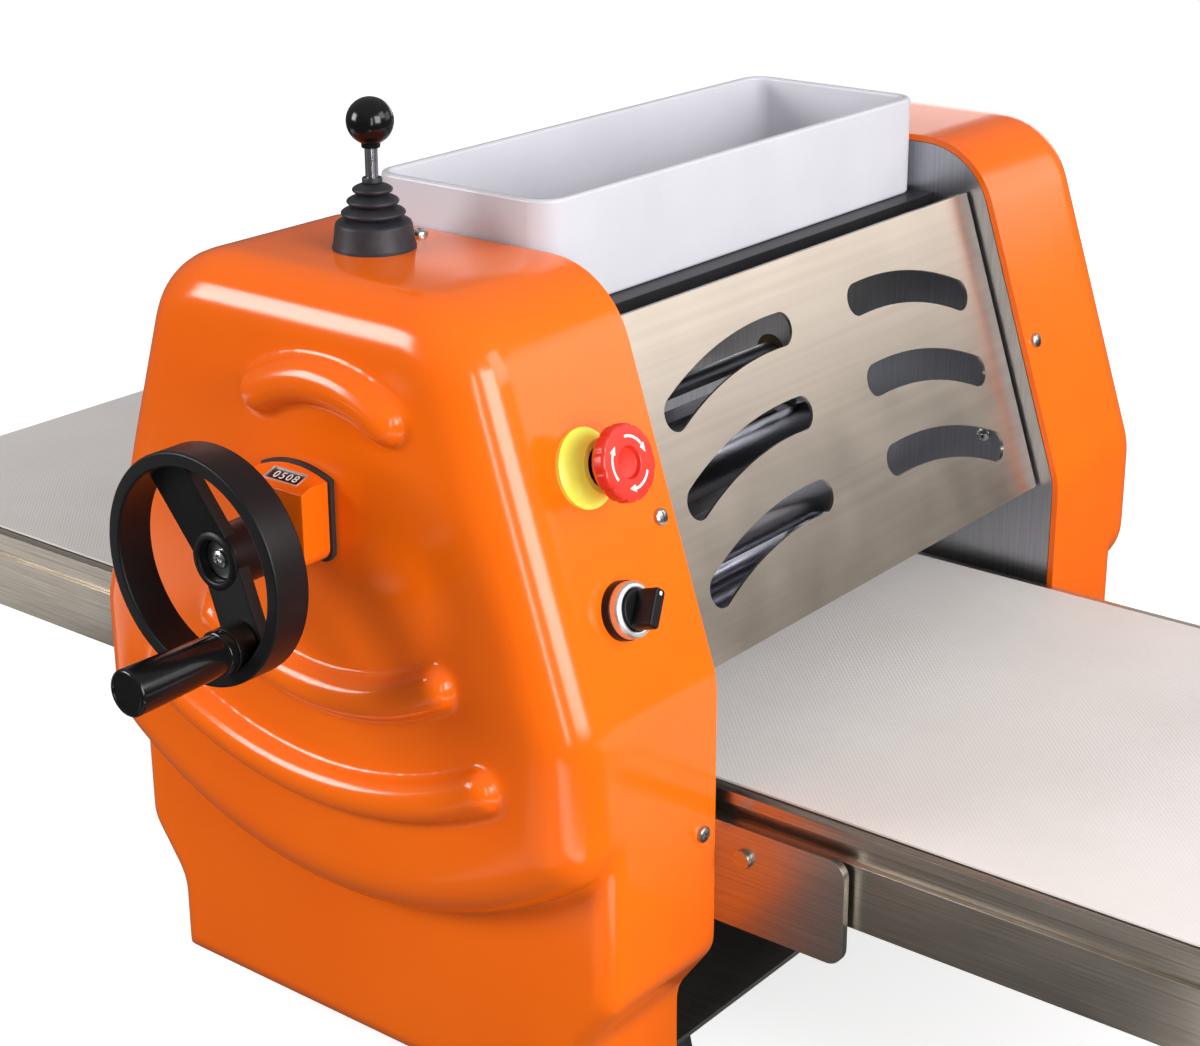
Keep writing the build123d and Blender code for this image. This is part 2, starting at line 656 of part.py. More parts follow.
def far_cover():
    """The cover on the drive side."""
    return mirror(cover_shell() - screw_holes(), about=Plane.XZ)


def cover_screws():
    """Pan head screws that hold the covers to the brackets of the side plates."""
    head = SCREW_HEAD_RADIUS
    tip = -COVER_WALL - SCREW_GRIP
    profile = [(0, tip), (SCREW_RADIUS, tip), (SCREW_RADIUS, 0), (head, 0),
               (head, SCREW_HEAD_RISE * 0.5), (head * 0.6, SCREW_HEAD_RISE), (0, SCREW_HEAD_RISE)]
    near = [turned(profile, place) for place in all_screw_places()]
    near += [mirror(turned(profile, place), about=Plane.YZ) for place in screw_places()]
    return group(*[piece for screw in near for piece in both_sides(screw)])


def cover_brackets():
    """Angle blocks on the side plates that take the cover screws."""
    reach = HALF + SCREW_INSET + BRACKET_LENGTH / 2 - PLATE_OUT
    middle = (PLATE_OUT + reach / 2) - (HALF + SCREW_INSET)
    depth = COVER_WALL + BRACKET_DEPTH / 2
    drill = Cylinder(SCREW_RADIUS + SCREW_HOLE_CLEARANCE, 8 * BRACKET_DEPTH)
    near = []
    for place in all_screw_places():
        if place.z_dir.Z < 0.99:
            lug = Pos(-middle, 0, -depth) * Box(reach, BRACKET_LENGTH, BRACKET_DEPTH)
        else:
            lug = Pos(0, -middle, -depth) * Box(BRACKET_LENGTH, reach, BRACKET_DEPTH)
        near.append(place.location * (lug - drill))
    near += [mirror(lug, about=Plane.YZ) for lug in near[:2]]
    return group(*[piece for lug in near for piece in both_sides(lug)])


def lower_bearings():
    """Flanged bearings of the lower roller on the side plates' outer faces."""
    ring = tube(0, LOWER_Z, BEARING_RADIUS, ROLLER_AXLE_RADIUS + FIT_CLEARANCE, -PLATE_OUT,
                -PLATE_OUT - BEARING_DEPTH)
    return group(*both_sides(ring))


def roller_body(z, near_end, far_end):
    """A ground steel roller with its axle."""
    half = ROLLER_LENGTH / 2
    return rod(0, z, ROLLER_RADIUS, -half, half) + rod(0, z, ROLLER_AXLE_RADIUS, near_end, far_end)


def lower_roller():
    """The fixed roller level with the belts."""
    near = TABLE_CHAIN_Y - SPROCKET_WIDTH
    return roller_body(LOWER_Z, near, MAIN_CHAIN_Y + SPROCKET_WIDTH)


def lower_roller_wheels():
    """The lower roller's gear and its two sprockets."""
    bore = ROLLER_AXLE_RADIUS
    towards = math.degrees(math.atan2(JACKSHAFT_Z - LOWER_Z, JACKSHAFT_X))
    gear = spur_gear(0, LOWER_Z, ROLLER_GEAR_MODULE, ROLLER_GEAR_TEETH, ROLLER_GEAR_IN,
                     ROLLER_GEAR_OUT, bore, towards)
    main = sprocket(0, LOWER_Z, MAIN_SPROCKET_TEETH, MAIN_CHAIN_Y, bore)
    table = sprocket(0, LOWER_Z, TABLE_SPROCKET_TEETH, TABLE_CHAIN_Y, bore)
    return group(gear, main, table)


def upper_roller():
    """The adjustable roller, its axle turned down for the sprocket."""
    end = PLATE_OUT + BLOCK_FLANGE - HOLE_CLEARANCE
    body = roller_body(UPPER_Z, -end, end)
    return body + rod(0, UPPER_Z, ROLLER_AXLE_RADIUS - AXLE_STEP, 0, UPPER_CHAIN_Y + SPROCKET_WIDTH)


def upper_sprocket():
    """The upper roller's chain wheel."""
    return sprocket(0, UPPER_Z, UPPER_SPROCKET_TEETH, UPPER_CHAIN_Y, ROLLER_AXLE_RADIUS - AXLE_STEP)


def bearing_blocks():
    """Blocks that carry the upper roller and slide in the side plates' slots."""
    bore = Pos(0, UPPER_Z) * Circle(ROLLER_AXLE_RADIUS + FIT_CLEARANCE)
    core = Pos(0, UPPER_Z) * Rectangle(2 * BLOCK_HALF_WIDTH, 2 * BLOCK_HALF_HEIGHT)
    wide = 2 * (BLOCK_HALF_WIDTH + BLOCK_FLANGE_EXTRA)
    cap = Rectangle(wide, 2 * BLOCK_HALF_HEIGHT + BLOCK_FLANGE_EXTRA)
    cap = Pos(0, UPPER_Z) * chamfer(cap.vertices(), BLOCK_CHAMFER)
    out = -(PLATE_OUT + BLOCK_FLANGE)
    near = slab(core - bore, -HALF, -PLATE_OUT - FACE_CLEARANCE)
    near += slab(cap - bore, -PLATE_OUT - FACE_CLEARANCE, out)
    return group(*both_sides(near))


def gap_racks():
    """Toothed racks on the bearing blocks, driven up and down by the gap shaft's pinions."""
    pitch = math.pi * GAP_MODULE
    low = UPPER_Z - BLOCK_HALF_HEIGHT / 2
    root = RACK_LINE_X + TOOTH_DEDENDUM * GAP_MODULE
    tip = RACK_LINE_X - TOOTH_ADDENDUM * GAP_MODULE
    points = [(root + RACK_BODY, low), (root + RACK_BODY, RACK_TOP), (root, RACK_TOP)]
    first = math.floor((RACK_TOP - GAP_SHAFT_Z) / pitch - 1)
    last = math.ceil((UPPER_Z + BLOCK_HALF_HEIGHT - GAP_SHAFT_Z) / pitch + 1)
    for step in range(first, last - 1, -1):
        centre = GAP_SHAFT_Z + (step + 0.5) * pitch
        for x, half in ((root, TOOTH_ROOT_HALF), (tip, TOOTH_TIP_HALF),
                        (tip, -TOOTH_TIP_HALF), (root, -TOOTH_ROOT_HALF)):
            points.append((x, centre + half * pitch))
    points.append((root, low))
    rack = slab(make_face(Polyline(*points, close=True)), -RACK_IN, -RACK_OUT)
    return group(*both_sides(rack))


def scraper(contact_angle, blade_angle, centre_z):
    """A scraper blade against a roller on the +X side, with its bar and end arms."""
    angle = math.radians(contact_angle)
    reach = ROLLER_RADIUS + FACE_CLEARANCE
    tip = Vector(reach * math.cos(angle), centre_z + reach * math.sin(angle))
    turn = math.radians(blade_angle)
    along = Vector(math.cos(turn), math.sin(turn))
    lift = Vector(-math.sin(turn), math.cos(turn))
    if blade_angle < 0:
        lift = lift * -1
    end = tip + along * SCRAPER_REACH
    back = end + lift * SCRAPER_THICKNESS
    edge = tip + lift * SCRAPER_THICKNESS + along * SCRAPER_BEVEL
    blade = make_face(Polyline(tip, end, back, edge, close=True))
    half = ROLLER_LENGTH / 2 - SCRAPER_END_GAP
    bar_place = Pos(end.X, end.Y) * Rot(0, 0, blade_angle)
    bar = bar_place * Rectangle(SCRAPER_BAR, SCRAPER_BAR)
    return slab(blade, -half, half) + slab(bar, -HALF, HALF), end


def upper_scrapers():
    """Scrapers of the upper roller, carried by arms on its bearing blocks."""
    blade, end = scraper(UPPER_SCRAPER_CONTACT, UPPER_SCRAPER_ANGLE, UPPER_Z)
    bar = SCRAPER_BAR / 2
    low = UPPER_Z + SCRAPER_ARM_LOW
    arm = make_face(Polyline((end.X + bar, end.Y + bar), (end.X + bar, end.Y - bar),
                             (SCRAPER_ARM_SEAT + bar, low), (SCRAPER_ARM_SEAT, low + SCRAPER_ARM),
                             (SCRAPER_ARM_SEAT, UPPER_Z + SCRAPER_ARM_HIGH), close=True))
    for plate in both_sides(slab(arm, -HALF, -HALF + SCRAPER_ARM)):
        blade += plate
    return group(blade, mirror(blade, about=Plane.YZ))


def lower_scrapers():
    """Scrapers of the lower roller, fixed between the side plates."""
    blade, _ = scraper(LOWER_SCRAPER_CONTACT, LOWER_SCRAPER_ANGLE, LOWER_Z)
    return group(blade, mirror(blade, about=Plane.YZ))


def handwheel_shaft():
    """The handwheel's shaft with the pinion of the gap drive."""
    shaft = rod(0, HANDWHEEL_HEIGHT, GAP_SHAFT_RADIUS, -HALF, HANDWHEEL_BACK + HUB_SEAT)
    from_wheel = math.degrees(math.atan2(GAP_SHAFT_Z - HANDWHEEL_HEIGHT, GAP_SHAFT_X))
    half_pitch = 180 / GAP_PINION_TEETH
    pinion = spur_gear(0, HANDWHEEL_HEIGHT, GAP_MODULE, GAP_PINION_TEETH, -GAP_GEAR_IN, -GAP_GEAR_OUT,
                       GAP_SHAFT_RADIUS / 2, from_wheel + half_pitch)
    return shaft + pinion


def gap_shaft():
    """The cross shaft that moves both racks together."""
    return rod(GAP_SHAFT_X, GAP_SHAFT_Z, GAP_SHAFT_RADIUS, -GAP_GEAR_OUT - SHAFT_END,
               RACK_OUT + SHAFT_END)


def gap_gears():
    """The cross shaft's large gear and its two rack pinions."""
    towards = math.degrees(math.atan2(HANDWHEEL_HEIGHT - GAP_SHAFT_Z, -GAP_SHAFT_X))
    wheel = spur_gear(GAP_SHAFT_X, GAP_SHAFT_Z, GAP_MODULE, GAP_WHEEL_TEETH, -GAP_GEAR_IN,
                      -GAP_GEAR_OUT, GAP_SHAFT_RADIUS, towards)
    pinion = spur_gear(GAP_SHAFT_X, GAP_SHAFT_Z, GAP_MODULE, RACK_PINION_TEETH, -RACK_IN, -RACK_OUT,
                       GAP_SHAFT_RADIUS, 0)
    return group(wheel, *both_sides(pinion))


def wheel_plane(x=0.0, z=0.0):
    """A plane on the handwheel's back face, pointing away from the cover."""
    return Plane(origin=(x, HANDWHEEL_BACK, HANDWHEEL_HEIGHT + z), x_dir=(1, 0, 0), z_dir=(0, -1, 0))


def grip_place():
    """The grip's offset from the handwheel's axis, as (x, z)."""
    angle = math.radians(SPOKE_ANGLE)
    return GRIP_OFFSET * math.cos(angle), GRIP_OFFSET * math.sin(angle)


def dished_web():
    """The handwheel's flat web: a bar from rim to rim that dips to the hub at the back."""
    reach = HANDWHEEL_RADIUS - HANDWHEEL_RIM / 2
    angle = math.radians(SPOKE_ANGLE)
    along = Vector(math.cos(angle), 0, math.sin(angle))
    across = Vector(math.sin(angle), 0, -math.cos(angle))
    half = SPOKE_THICKNESS / 2
    front = [(reach, SPOKE_DISH + half), (0, half), (-reach, SPOKE_DISH + half)]
    back = [(-reach, SPOKE_DISH - half), (0, -half), (reach, SPOKE_DISH - half)]
    profile = make_face(Polyline(*front, *back, close=True))
    place = Plane(origin=(0, HANDWHEEL_BACK, HANDWHEEL_HEIGHT), x_dir=along, z_dir=across)
    bar = extrude(place * profile, SPOKE_WIDTH / 2, both=True)
    return bar & rod(0, HANDWHEEL_HEIGHT, reach, HANDWHEEL_BACK + HUB_BACK, GRIP_END)


def handwheel():
    """A moulded handwheel: deep rim, dished web, hub recess and a boss for the grip."""
    outer, width = HANDWHEEL_RADIUS, HANDWHEEL_WIDTH
    front = HANDWHEEL_BACK - width
    ring = slab(Pos(0, HANDWHEEL_HEIGHT) * (Circle(outer) - Circle(outer - HANDWHEEL_RIM)),
                HANDWHEEL_BACK, front)
    ring = fillet(ring.edges().filter_by(GeomType.CIRCLE), RIM_EDGE_RADIUS)
    hub = rod(0, HANDWHEEL_HEIGHT, HUB_RADIUS, HANDWHEEL_BACK + HUB_BACK, HANDWHEEL_BACK - HUB_RISE)
    dx, dz = grip_place()
    boss = rod(dx, HANDWHEEL_HEIGHT + dz, GRIP_BOSS_RADIUS, HANDWHEEL_BACK - SPOKE_DISH,
               front - GRIP_BOSS_RISE)
    wheel = ring + dished_web() + hub + boss
    wheel -= rod(0, HANDWHEEL_HEIGHT, HUB_RECESS_RADIUS, HANDWHEEL_BACK + HUB_SEAT, front)
    wheel -= rod(0, HANDWHEEL_HEIGHT, GAP_SHAFT_RADIUS, HANDWHEEL_BACK + 2 * HUB_BACK, front)
    return wheel - rod(dx, HANDWHEEL_HEIGHT + dz, GRIP_SPINDLE_RADIUS, HANDWHEEL_BACK - SPOKE_DISH,
                       front - width)


def handwheel_screw():
    """The washer and cap screw in the handwheel's hub."""
    rim = HUB_RECESS_RADIUS - HOLE_CLEARANCE
    washer = HUB_WASHER - HUB_SEAT
    top = washer + HUB_SCREW_HEAD
    profile = [(0, -HUB_SEAT), (rim, -HUB_SEAT), (rim, washer), (HUB_SCREW_RADIUS, washer),
               (HUB_SCREW_RADIUS - HUB_SCREW_CROWN, top), (0, top)]
    return turned(profile, wheel_plane())


def grip_spindle():
    """The fixed spindle that the grip turns on."""
    dx, dz = grip_place()
    return rod(dx, HANDWHEEL_HEIGHT + dz, GRIP_SPINDLE_RADIUS, HANDWHEEL_BACK - SPOKE_DISH,
               GRIP_END + GRIP_SPINDLE_SINK)


def grip():
    """The revolving grip: a base collar, then a body that swells to its rounded end."""
    start = HANDWHEEL_WIDTH + GRIP_BOSS_RISE + FACE_CLEARANCE
    end = HANDWHEEL_WIDTH + GRIP_LENGTH
    bore = GRIP_SPINDLE_RADIUS + FIT_CLEARANCE
    place = wheel_plane(*grip_place())
    shoulder = (GRIP_RADIUS, end - GRIP_END_RADIUS)
    face_edge = (GRIP_RADIUS - GRIP_END_RADIUS, end)
    outside = Polyline((bore, end - GRIP_CAP), (bore, start), (GRIP_BOSS_RADIUS, start),
                       (GRIP_BOSS_RADIUS, start + GRIP_COLLAR), (GRIP_NECK_RADIUS, start + GRIP_COLLAR),
                       shoulder)
    rounding = RadiusArc(shoulder, face_edge, -GRIP_END_RADIUS)
    inside = Polyline(face_edge, (0, end), (0, end - GRIP_CAP), (bore, end - GRIP_CAP))
    return spun(make_face(outside.edges() + rounding.edges() + inside.edges()), place)


def counter_outline(margin):
    """The position counter's outline: flat bottom, straight flanks and an arched top."""
    half = COUNTER_HALF_WIDTH + margin
    low = COUNTER_BOTTOM - margin
    top = COUNTER_TOP + margin
    box = Pos(0, (low + top) / 2) * Rectangle(2 * half, top - low)
    corners = box.vertices().group_by(Axis.Y)[0]
    box = fillet(corners, COUNTER_CORNER_RADIUS)
    return box & Pos(0, top - COUNTER_ARCH_RADIUS) * Circle(COUNTER_ARCH_RADIUS)


def counter_gasket():
    """The rubber gasket between the counter and the cover."""
    hole = Pos(0, HANDWHEEL_HEIGHT) * Circle(GAP_SHAFT_RADIUS + SHAFT_PASSAGE)
    return slab(counter_outline(GASKET_MARGIN) - hole, -COVER_OUT, -COVER_OUT - GASKET_THICKNESS)


def counter_housing():
    """The counter's housing with a sloping top for its window."""
    back = -COVER_OUT - GASKET_THICKNESS
    front = back - COUNTER_DEPTH
    body = slab(counter_outline(0), back, front) & counter_slope(0)
    body = fillet(body.faces().sort_by(Axis.Y)[0].edges(), COUNTER_EDGE_RADIUS)
    body -= rod(0, HANDWHEEL_HEIGHT, GAP_SHAFT_RADIUS + SHAFT_PASSAGE, back, front)
    return body - counter_pocket()


def counter_slope(lift):
    """The space under the counter's sloping top, raised by lift."""
    back = -COVER_OUT - GASKET_THICKNESS
    low = COUNTER_BOTTOM - COUNTER_HALF_WIDTH
    side = Plane.YZ * make_face(Polyline(
        (back, low), (back, COUNTER_TOP + lift),
        (back - COUNTER_DEPTH, COUNTER_TOP - COUNTER_SLOPE_DROP + lift),
        (back - COUNTER_DEPTH, low), close=True))
    return extrude(side, 2 * COUNTER_HALF_WIDTH, both=True)


def counter_pocket():
    """The window's seat in the sloping top."""
    middle = -COVER_OUT - GASKET_THICKNESS - COUNTER_DEPTH / 2
    seat = block(WINDOW_X - WINDOW_HALF_WIDTH, WINDOW_X + WINDOW_HALF_WIDTH, middle - WINDOW_HALF_DEPTH,
                 middle + WINDOW_HALF_DEPTH, HANDWHEEL_HEIGHT, COUNTER_TOP)
    return seat & (counter_slope(0) - counter_slope(-WINDOW_THICKNESS))


def lever_switch():
    """The direction switch under the cover's top, with the lever's pivot bearings."""
    top = Pos(LEVER_X, LEVER_Y, COVER_TOP - COVER_WALL)
    body = Pos(0, 0, -LEVER_SWITCH_HEIGHT / 2) * Box(LEVER_SWITCH_LENGTH, LEVER_SWITCH_WIDTH,
                                                     LEVER_SWITCH_HEIGHT)
    body -= Pos(0, 0, -LEVER_WELL_DEPTH / 2) * Cylinder(LEVER_HOLE_RADIUS + HOLE_CLEARANCE,
                                                        LEVER_WELL_DEPTH)
    pivot = COVER_TOP - LEVER_PIVOT_DEPTH
    return top * body - rod(LEVER_X, pivot, LEVER_PIN_RADIUS + FIT_CLEARANCE,
                            LEVER_Y - LEVER_SWITCH_WIDTH, LEVER_Y + LEVER_SWITCH_WIDTH)


def lever_rod():
    """The lever's rod with its cross pin."""
    pivot = COVER_TOP - LEVER_PIVOT_DEPTH
    length = LEVER_PIVOT_DEPTH + LEVER_BALL_HEIGHT
    bar = Pos(LEVER_X, LEVER_Y, pivot + length / 2) * Cylinder(LEVER_ROD_RADIUS, length)
    eye = Pos(LEVER_X, LEVER_Y, pivot) * Sphere(LEVER_EYE_RADIUS)
    half = LEVER_PIN_LENGTH / 2
    return bar + eye + rod(LEVER_X, pivot, LEVER_PIN_RADIUS, LEVER_Y - half, LEVER_Y + half)


def ball_knob():
    """The lever's ball."""
    centre = COVER_TOP + LEVER_BALL_HEIGHT
    ball = Pos(LEVER_X, LEVER_Y, centre) * Sphere(LEVER_BALL_RADIUS)
    seat = Pos(LEVER_X, LEVER_Y, centre - LEVER_BALL_RADIUS) * Cylinder(LEVER_ROD_RADIUS + BALL_NECK,
                                                                        BALL_NECK_HEIGHT)
    bore = Pos(LEVER_X, LEVER_Y, centre - LEVER_BALL_RADIUS) * Cylinder(LEVER_ROD_RADIUS,
                                                                        2 * LEVER_BALL_RADIUS)
    return ball + seat - bore


def lever_bellows():
    """A rubber bellows: a tall skirt with a shoulder, round folds and a collar on the rod."""
    shoulder = BELLOWS_RADIUS - BELLOWS_SKIRT_TAPER
    first = BELLOWS_SKIRT + BELLOWS_SHOULDER
    groove = BELLOWS_FOLD_RADIUS - BELLOWS_GROOVE
    outside = Polyline((BELLOWS_RADIUS, 0), (shoulder, BELLOWS_SKIRT), (groove, first)).edges()
    for i in range(BELLOWS_FOLDS):
        crest = BELLOWS_FOLD_RADIUS - i * BELLOWS_FOLD_STEP
        base = first + i * BELLOWS_FOLD_HEIGHT
        top = (crest - BELLOWS_GROOVE - BELLOWS_FOLD_STEP, base + BELLOWS_FOLD_HEIGHT)
        outside += ThreePointArc((crest - BELLOWS_GROOVE, base), (crest, base + BELLOWS_FOLD_HEIGHT / 2),
                                 top).edges()
    bore = LEVER_ROD_RADIUS + FACE_CLEARANCE
    inside = Polyline(top, (BELLOWS_COLLAR_RADIUS, top[1]), (BELLOWS_COLLAR_RADIUS, BELLOWS_HEIGHT),
                      (bore, BELLOWS_HEIGHT), (bore, top[1] - BELLOWS_LINING),
                      (LEVER_HOLE_RADIUS, BELLOWS_LINING), (LEVER_HOLE_RADIUS, 0), (BELLOWS_RADIUS, 0))
    return spun(make_face(outside + inside.edges()), Plane(origin=(LEVER_X, LEVER_Y, COVER_TOP)))


def switch_barrel(bore):
    """The threaded barrel of a panel switch with its nut inside the cover."""
    floor = SWITCH_FLOOR - SWITCH_DEPTH
    barrel = turned([(0, -SWITCH_DEPTH), (SWITCH_RADIUS, -SWITCH_DEPTH), (SWITCH_RADIUS, SWITCH_PROUD),
                     (bore, SWITCH_PROUD), (bore, floor), (0, floor)], Plane.XY)
    back = -COVER_WALL - SWITCH_NUT
    nut = turned([(bore, back), (SWITCH_RADIUS + SWITCH_NUT_EXTRA, back),
                  (SWITCH_RADIUS + SWITCH_NUT_EXTRA, -COVER_WALL), (bore, -COVER_WALL)], Plane.XY)
    return barrel + nut


def estop_pieces():
    """The emergency stop's barrel, flared collar, sliding stem and dished mushroom head."""
    place = slant_plane(ESTOP_ALONG, SWITCH_Y)
    bore = ESTOP_STEM_RADIUS + FIT_CLEARANCE
    barrel = place.location * switch_barrel(bore)
    ring = SWITCH_RADIUS + FIT_CLEARANCE
    neck = (COLLAR_NECK_RADIUS, COLLAR_DEPTH)
    flare = ThreePointArc((COLLAR_RADIUS, COLLAR_RIM), (COLLAR_FLARE_RADIUS, COLLAR_FLARE), neck)
    rest = Polyline(neck, (ring, COLLAR_DEPTH), (ring, 0), (COLLAR_RADIUS, 0), (COLLAR_RADIUS, COLLAR_RIM))
    collar = spun(make_face(flare.edges() + rest.edges()), place)
    stand = ESTOP_STANDOFF
    socket = stand + ESTOP_SOCKET
    stem = turned([(0, -SWITCH_DEPTH / 2), (ESTOP_STEM_RADIUS, -SWITCH_DEPTH / 2),
                   (ESTOP_STEM_RADIUS, socket), (0, socket)], place)
    full = stand + ESTOP_HEAD_DEPTH
    dish = full - ESTOP_DISH_DEPTH
    head = turned([(bore, stand), (ESTOP_BASE_RADIUS, stand), (ESTOP_HEAD_RADIUS, stand + ESTOP_FLANK_START),
                   (ESTOP_HEAD_RADIUS, stand + ESTOP_FLANK_END), (ESTOP_FACE_RADIUS, full),
                   (ESTOP_DISH_RADIUS, full), (ESTOP_STEM_RADIUS, dish), (0, dish),
                   (0, socket + FACE_CLEARANCE), (bore, socket + FACE_CLEARANCE)], place)
    return barrel, collar, stem, head


def selector_pieces():
    """The selector's barrel, bezel and knob."""
    place = slant_plane(SELECTOR_ALONG, SWITCH_Y)
    bore = KNOB_SHAFT_RADIUS + FIT_CLEARANCE
    barrel = place.location * switch_barrel(bore)
    ring = SWITCH_RADIUS + FIT_CLEARANCE
    bezel = turned([(ring, 0), (BEZEL_BASE_RADIUS, 0), (BEZEL_BASE_RADIUS, BEZEL_BASE),
                    (BEZEL_RADIUS, BEZEL_BASE), (BEZEL_RADIUS, BEZEL_DEPTH - BEZEL_CHAMFER),
                    (BEZEL_RADIUS - BEZEL_CHAMFER, BEZEL_DEPTH), (ring, BEZEL_DEPTH)], place)
    disc = SWITCH_RADIUS - FACE_CLEARANCE
    base = SWITCH_PROUD + FACE_CLEARANCE
    top = BEZEL_DEPTH + KNOB_DISC
    knob = turned([(0, -SWITCH_DEPTH / 2), (KNOB_SHAFT_RADIUS, -SWITCH_DEPTH / 2),
                   (KNOB_SHAFT_RADIUS, base), (disc, base), (disc, top), (0, top)], Plane.XY)
    bar_height = KNOB_DEPTH - BEZEL_DEPTH
    bar = Pos(0, 0, BEZEL_DEPTH + bar_height / 2) * Box(KNOB_BAR_WIDTH, 2 * disc, bar_height)
    bar = bar & Pos(0, 0, KNOB_DEPTH / 2) * Cylinder(disc, 2 * KNOB_DEPTH)
    knob += fillet(bar.edges().group_by(Axis.Z)[-1], KNOB_EDGE_RADIUS)
    return barrel, bezel, place.location * Rot(0, 0, KNOB_ANGLE) * knob


def flour_tray():
    """The loose plastic flour tray with rounded corners and rim."""
    place = Pos(TRAY_OFFSET, 0, TRAY_BOTTOM)
    outer = extrude(RectangleRounded(TRAY_WIDTH, TRAY_LENGTH, TRAY_CORNER_RADIUS), TRAY_DEPTH)
    inner_radius = TRAY_CORNER_RADIUS - TRAY_WALL
    inner = extrude(RectangleRounded(TRAY_WIDTH - 2 * TRAY_WALL, TRAY_LENGTH - 2 * TRAY_WALL,
                                     inner_radius), TRAY_DEPTH)
    tray = outer - Pos(0, 0, TRAY_WALL) * inner
    tray = fillet(tray.faces().sort_by(Axis.Z)[-1].edges(), TRAY_RIM_RADIUS)
    return place * tray


def guard_plane():
    """The outer face of the +X guard: x along +Y, y up the slope, origin on the top edge."""
    angle = math.radians(SLANT)
    return Plane(origin=(GUARD_TOP_X, 0, GUARD_TOP), x_dir=(0, 1, 0),
                 z_dir=(math.cos(angle), 0, math.sin(angle)))


def guard():
    """The slotted stainless guard with folded edges and pivot holes in its end flanges."""
    sheet = Pos(0, -GUARD_LENGTH / 2) * Rectangle(GUARD_WIDTH, GUARD_LENGTH)
    start = math.degrees(math.acos((SLOT_OUTER - SLOT_CENTRE) / SLOT_RADIUS))
    finish = math.degrees(math.acos((SLOT_INNER - SLOT_CENTRE) / SLOT_RADIUS))
    for row in range(SLOT_ROWS):
        centre = (SLOT_CENTRE, -SLOT_TOP - SLOT_RADIUS - row * SLOT_PITCH)
        slot = SlotArc(CenterArc(centre, SLOT_RADIUS, start, finish - start), SLOT_WIDTH)
        sheet -= [slot, mirror(slot, about=Plane.YZ)]
    body = Pos(0, 0, -GUARD_THICKNESS) * extrude(sheet, GUARD_THICKNESS)
    lip = Pos(0, -GUARD_THICKNESS / 2, -GUARD_LIP / 2) * Box(GUARD_WIDTH, GUARD_THICKNESS, GUARD_LIP)
    hem = Pos(0, -GUARD_LENGTH + GUARD_THICKNESS, 0) * lip
    end = Pos(GUARD_WIDTH / 2 - GUARD_THICKNESS / 2, -GUARD_LENGTH / 2, -GUARD_FLANGE / 2)
    flange = end * Box(GUARD_THICKNESS, GUARD_LENGTH, GUARD_FLANGE)
    body += [lip, hem, flange, mirror(flange, about=Plane.YZ)]
    hole = Pos(0, -GUARD_PIVOT_DOWN, -GUARD_PIVOT_IN) * Rot(0, 90, 0)
    body -= hole * Cylinder(GUARD_PIVOT_RADIUS + FIT_CLEARANCE, 2 * GUARD_WIDTH)
    return guard_plane().location * body


def guard_pivots():
    """Shoulder pins on the side plates that the guards hang on."""
    centre = guard_plane().from_local_coords((0, -GUARD_PIVOT_DOWN, -GUARD_PIVOT_IN))
    inside = GUARD_WIDTH / 2 - GUARD_THICKNESS - FACE_CLEARANCE
    pin = rod(centre.X, centre.Z, GUARD_PIVOT_RADIUS, -HALF, -inside)
    pin += rod(centre.X, centre.Z, GUARD_PIVOT_RADIUS + GUARD_PIVOT_HEAD_EXTRA, -inside,
               -inside + GUARD_PIVOT_HEAD)
    pins = both_sides(pin)
    return group(*pins, *[mirror(p, about=Plane.YZ) for p in pins])


def belt():
    """The endless belt of the right conveyor round its two rollers."""
    def loop(grow):
        ends = [Pos(DRIVE_ROLLER_X, DRIVE_ROLLER_Z) * Circle(DRIVE_ROLLER_RADIUS + grow),
                Pos(TAIL_ROLLER_X, TAIL_ROLLER_Z) * Circle(TAIL_ROLLER_RADIUS + grow)]
        return make_hull(Sketch(children=ends).edges())

    half = BELT_WIDTH / 2
    return slab(loop(BELT_THICKNESS) - loop(FACE_CLEARANCE), -half, half)


def conveyor_roller(x, z, radius, shaft, near, far):
    """A conveyor roller with its shaft."""
    half = BELT_WIDTH / 2 - BELT_OVERHANG
    return rod(x, z, radius, -half, half) + rod(x, z, shaft, near, far)


def drive_roller(x):
    """A conveyor's drive roller with its sprocket on the table chain."""
    body = conveyor_roller(x, DRIVE_ROLLER_Z, DRIVE_ROLLER_RADIUS, DRIVE_SHAFT_RADIUS,
                           TABLE_CHAIN_Y - SPROCKET_WIDTH, PLATE_OUT + BUSH_FLANGE)
    return body + sprocket(x, DRIVE_ROLLER_Z, WING_SPROCKET_TEETH, TABLE_CHAIN_Y, DRIVE_SHAFT_RADIUS / 2)


def tail_roller():
    """The right conveyor's tail roller, carried between the rails."""
    return conveyor_roller(TAIL_ROLLER_X, TAIL_ROLLER_Z, TAIL_ROLLER_RADIUS, TAIL_SHAFT_RADIUS,
                           -RAIL_OUT, RAIL_OUT)


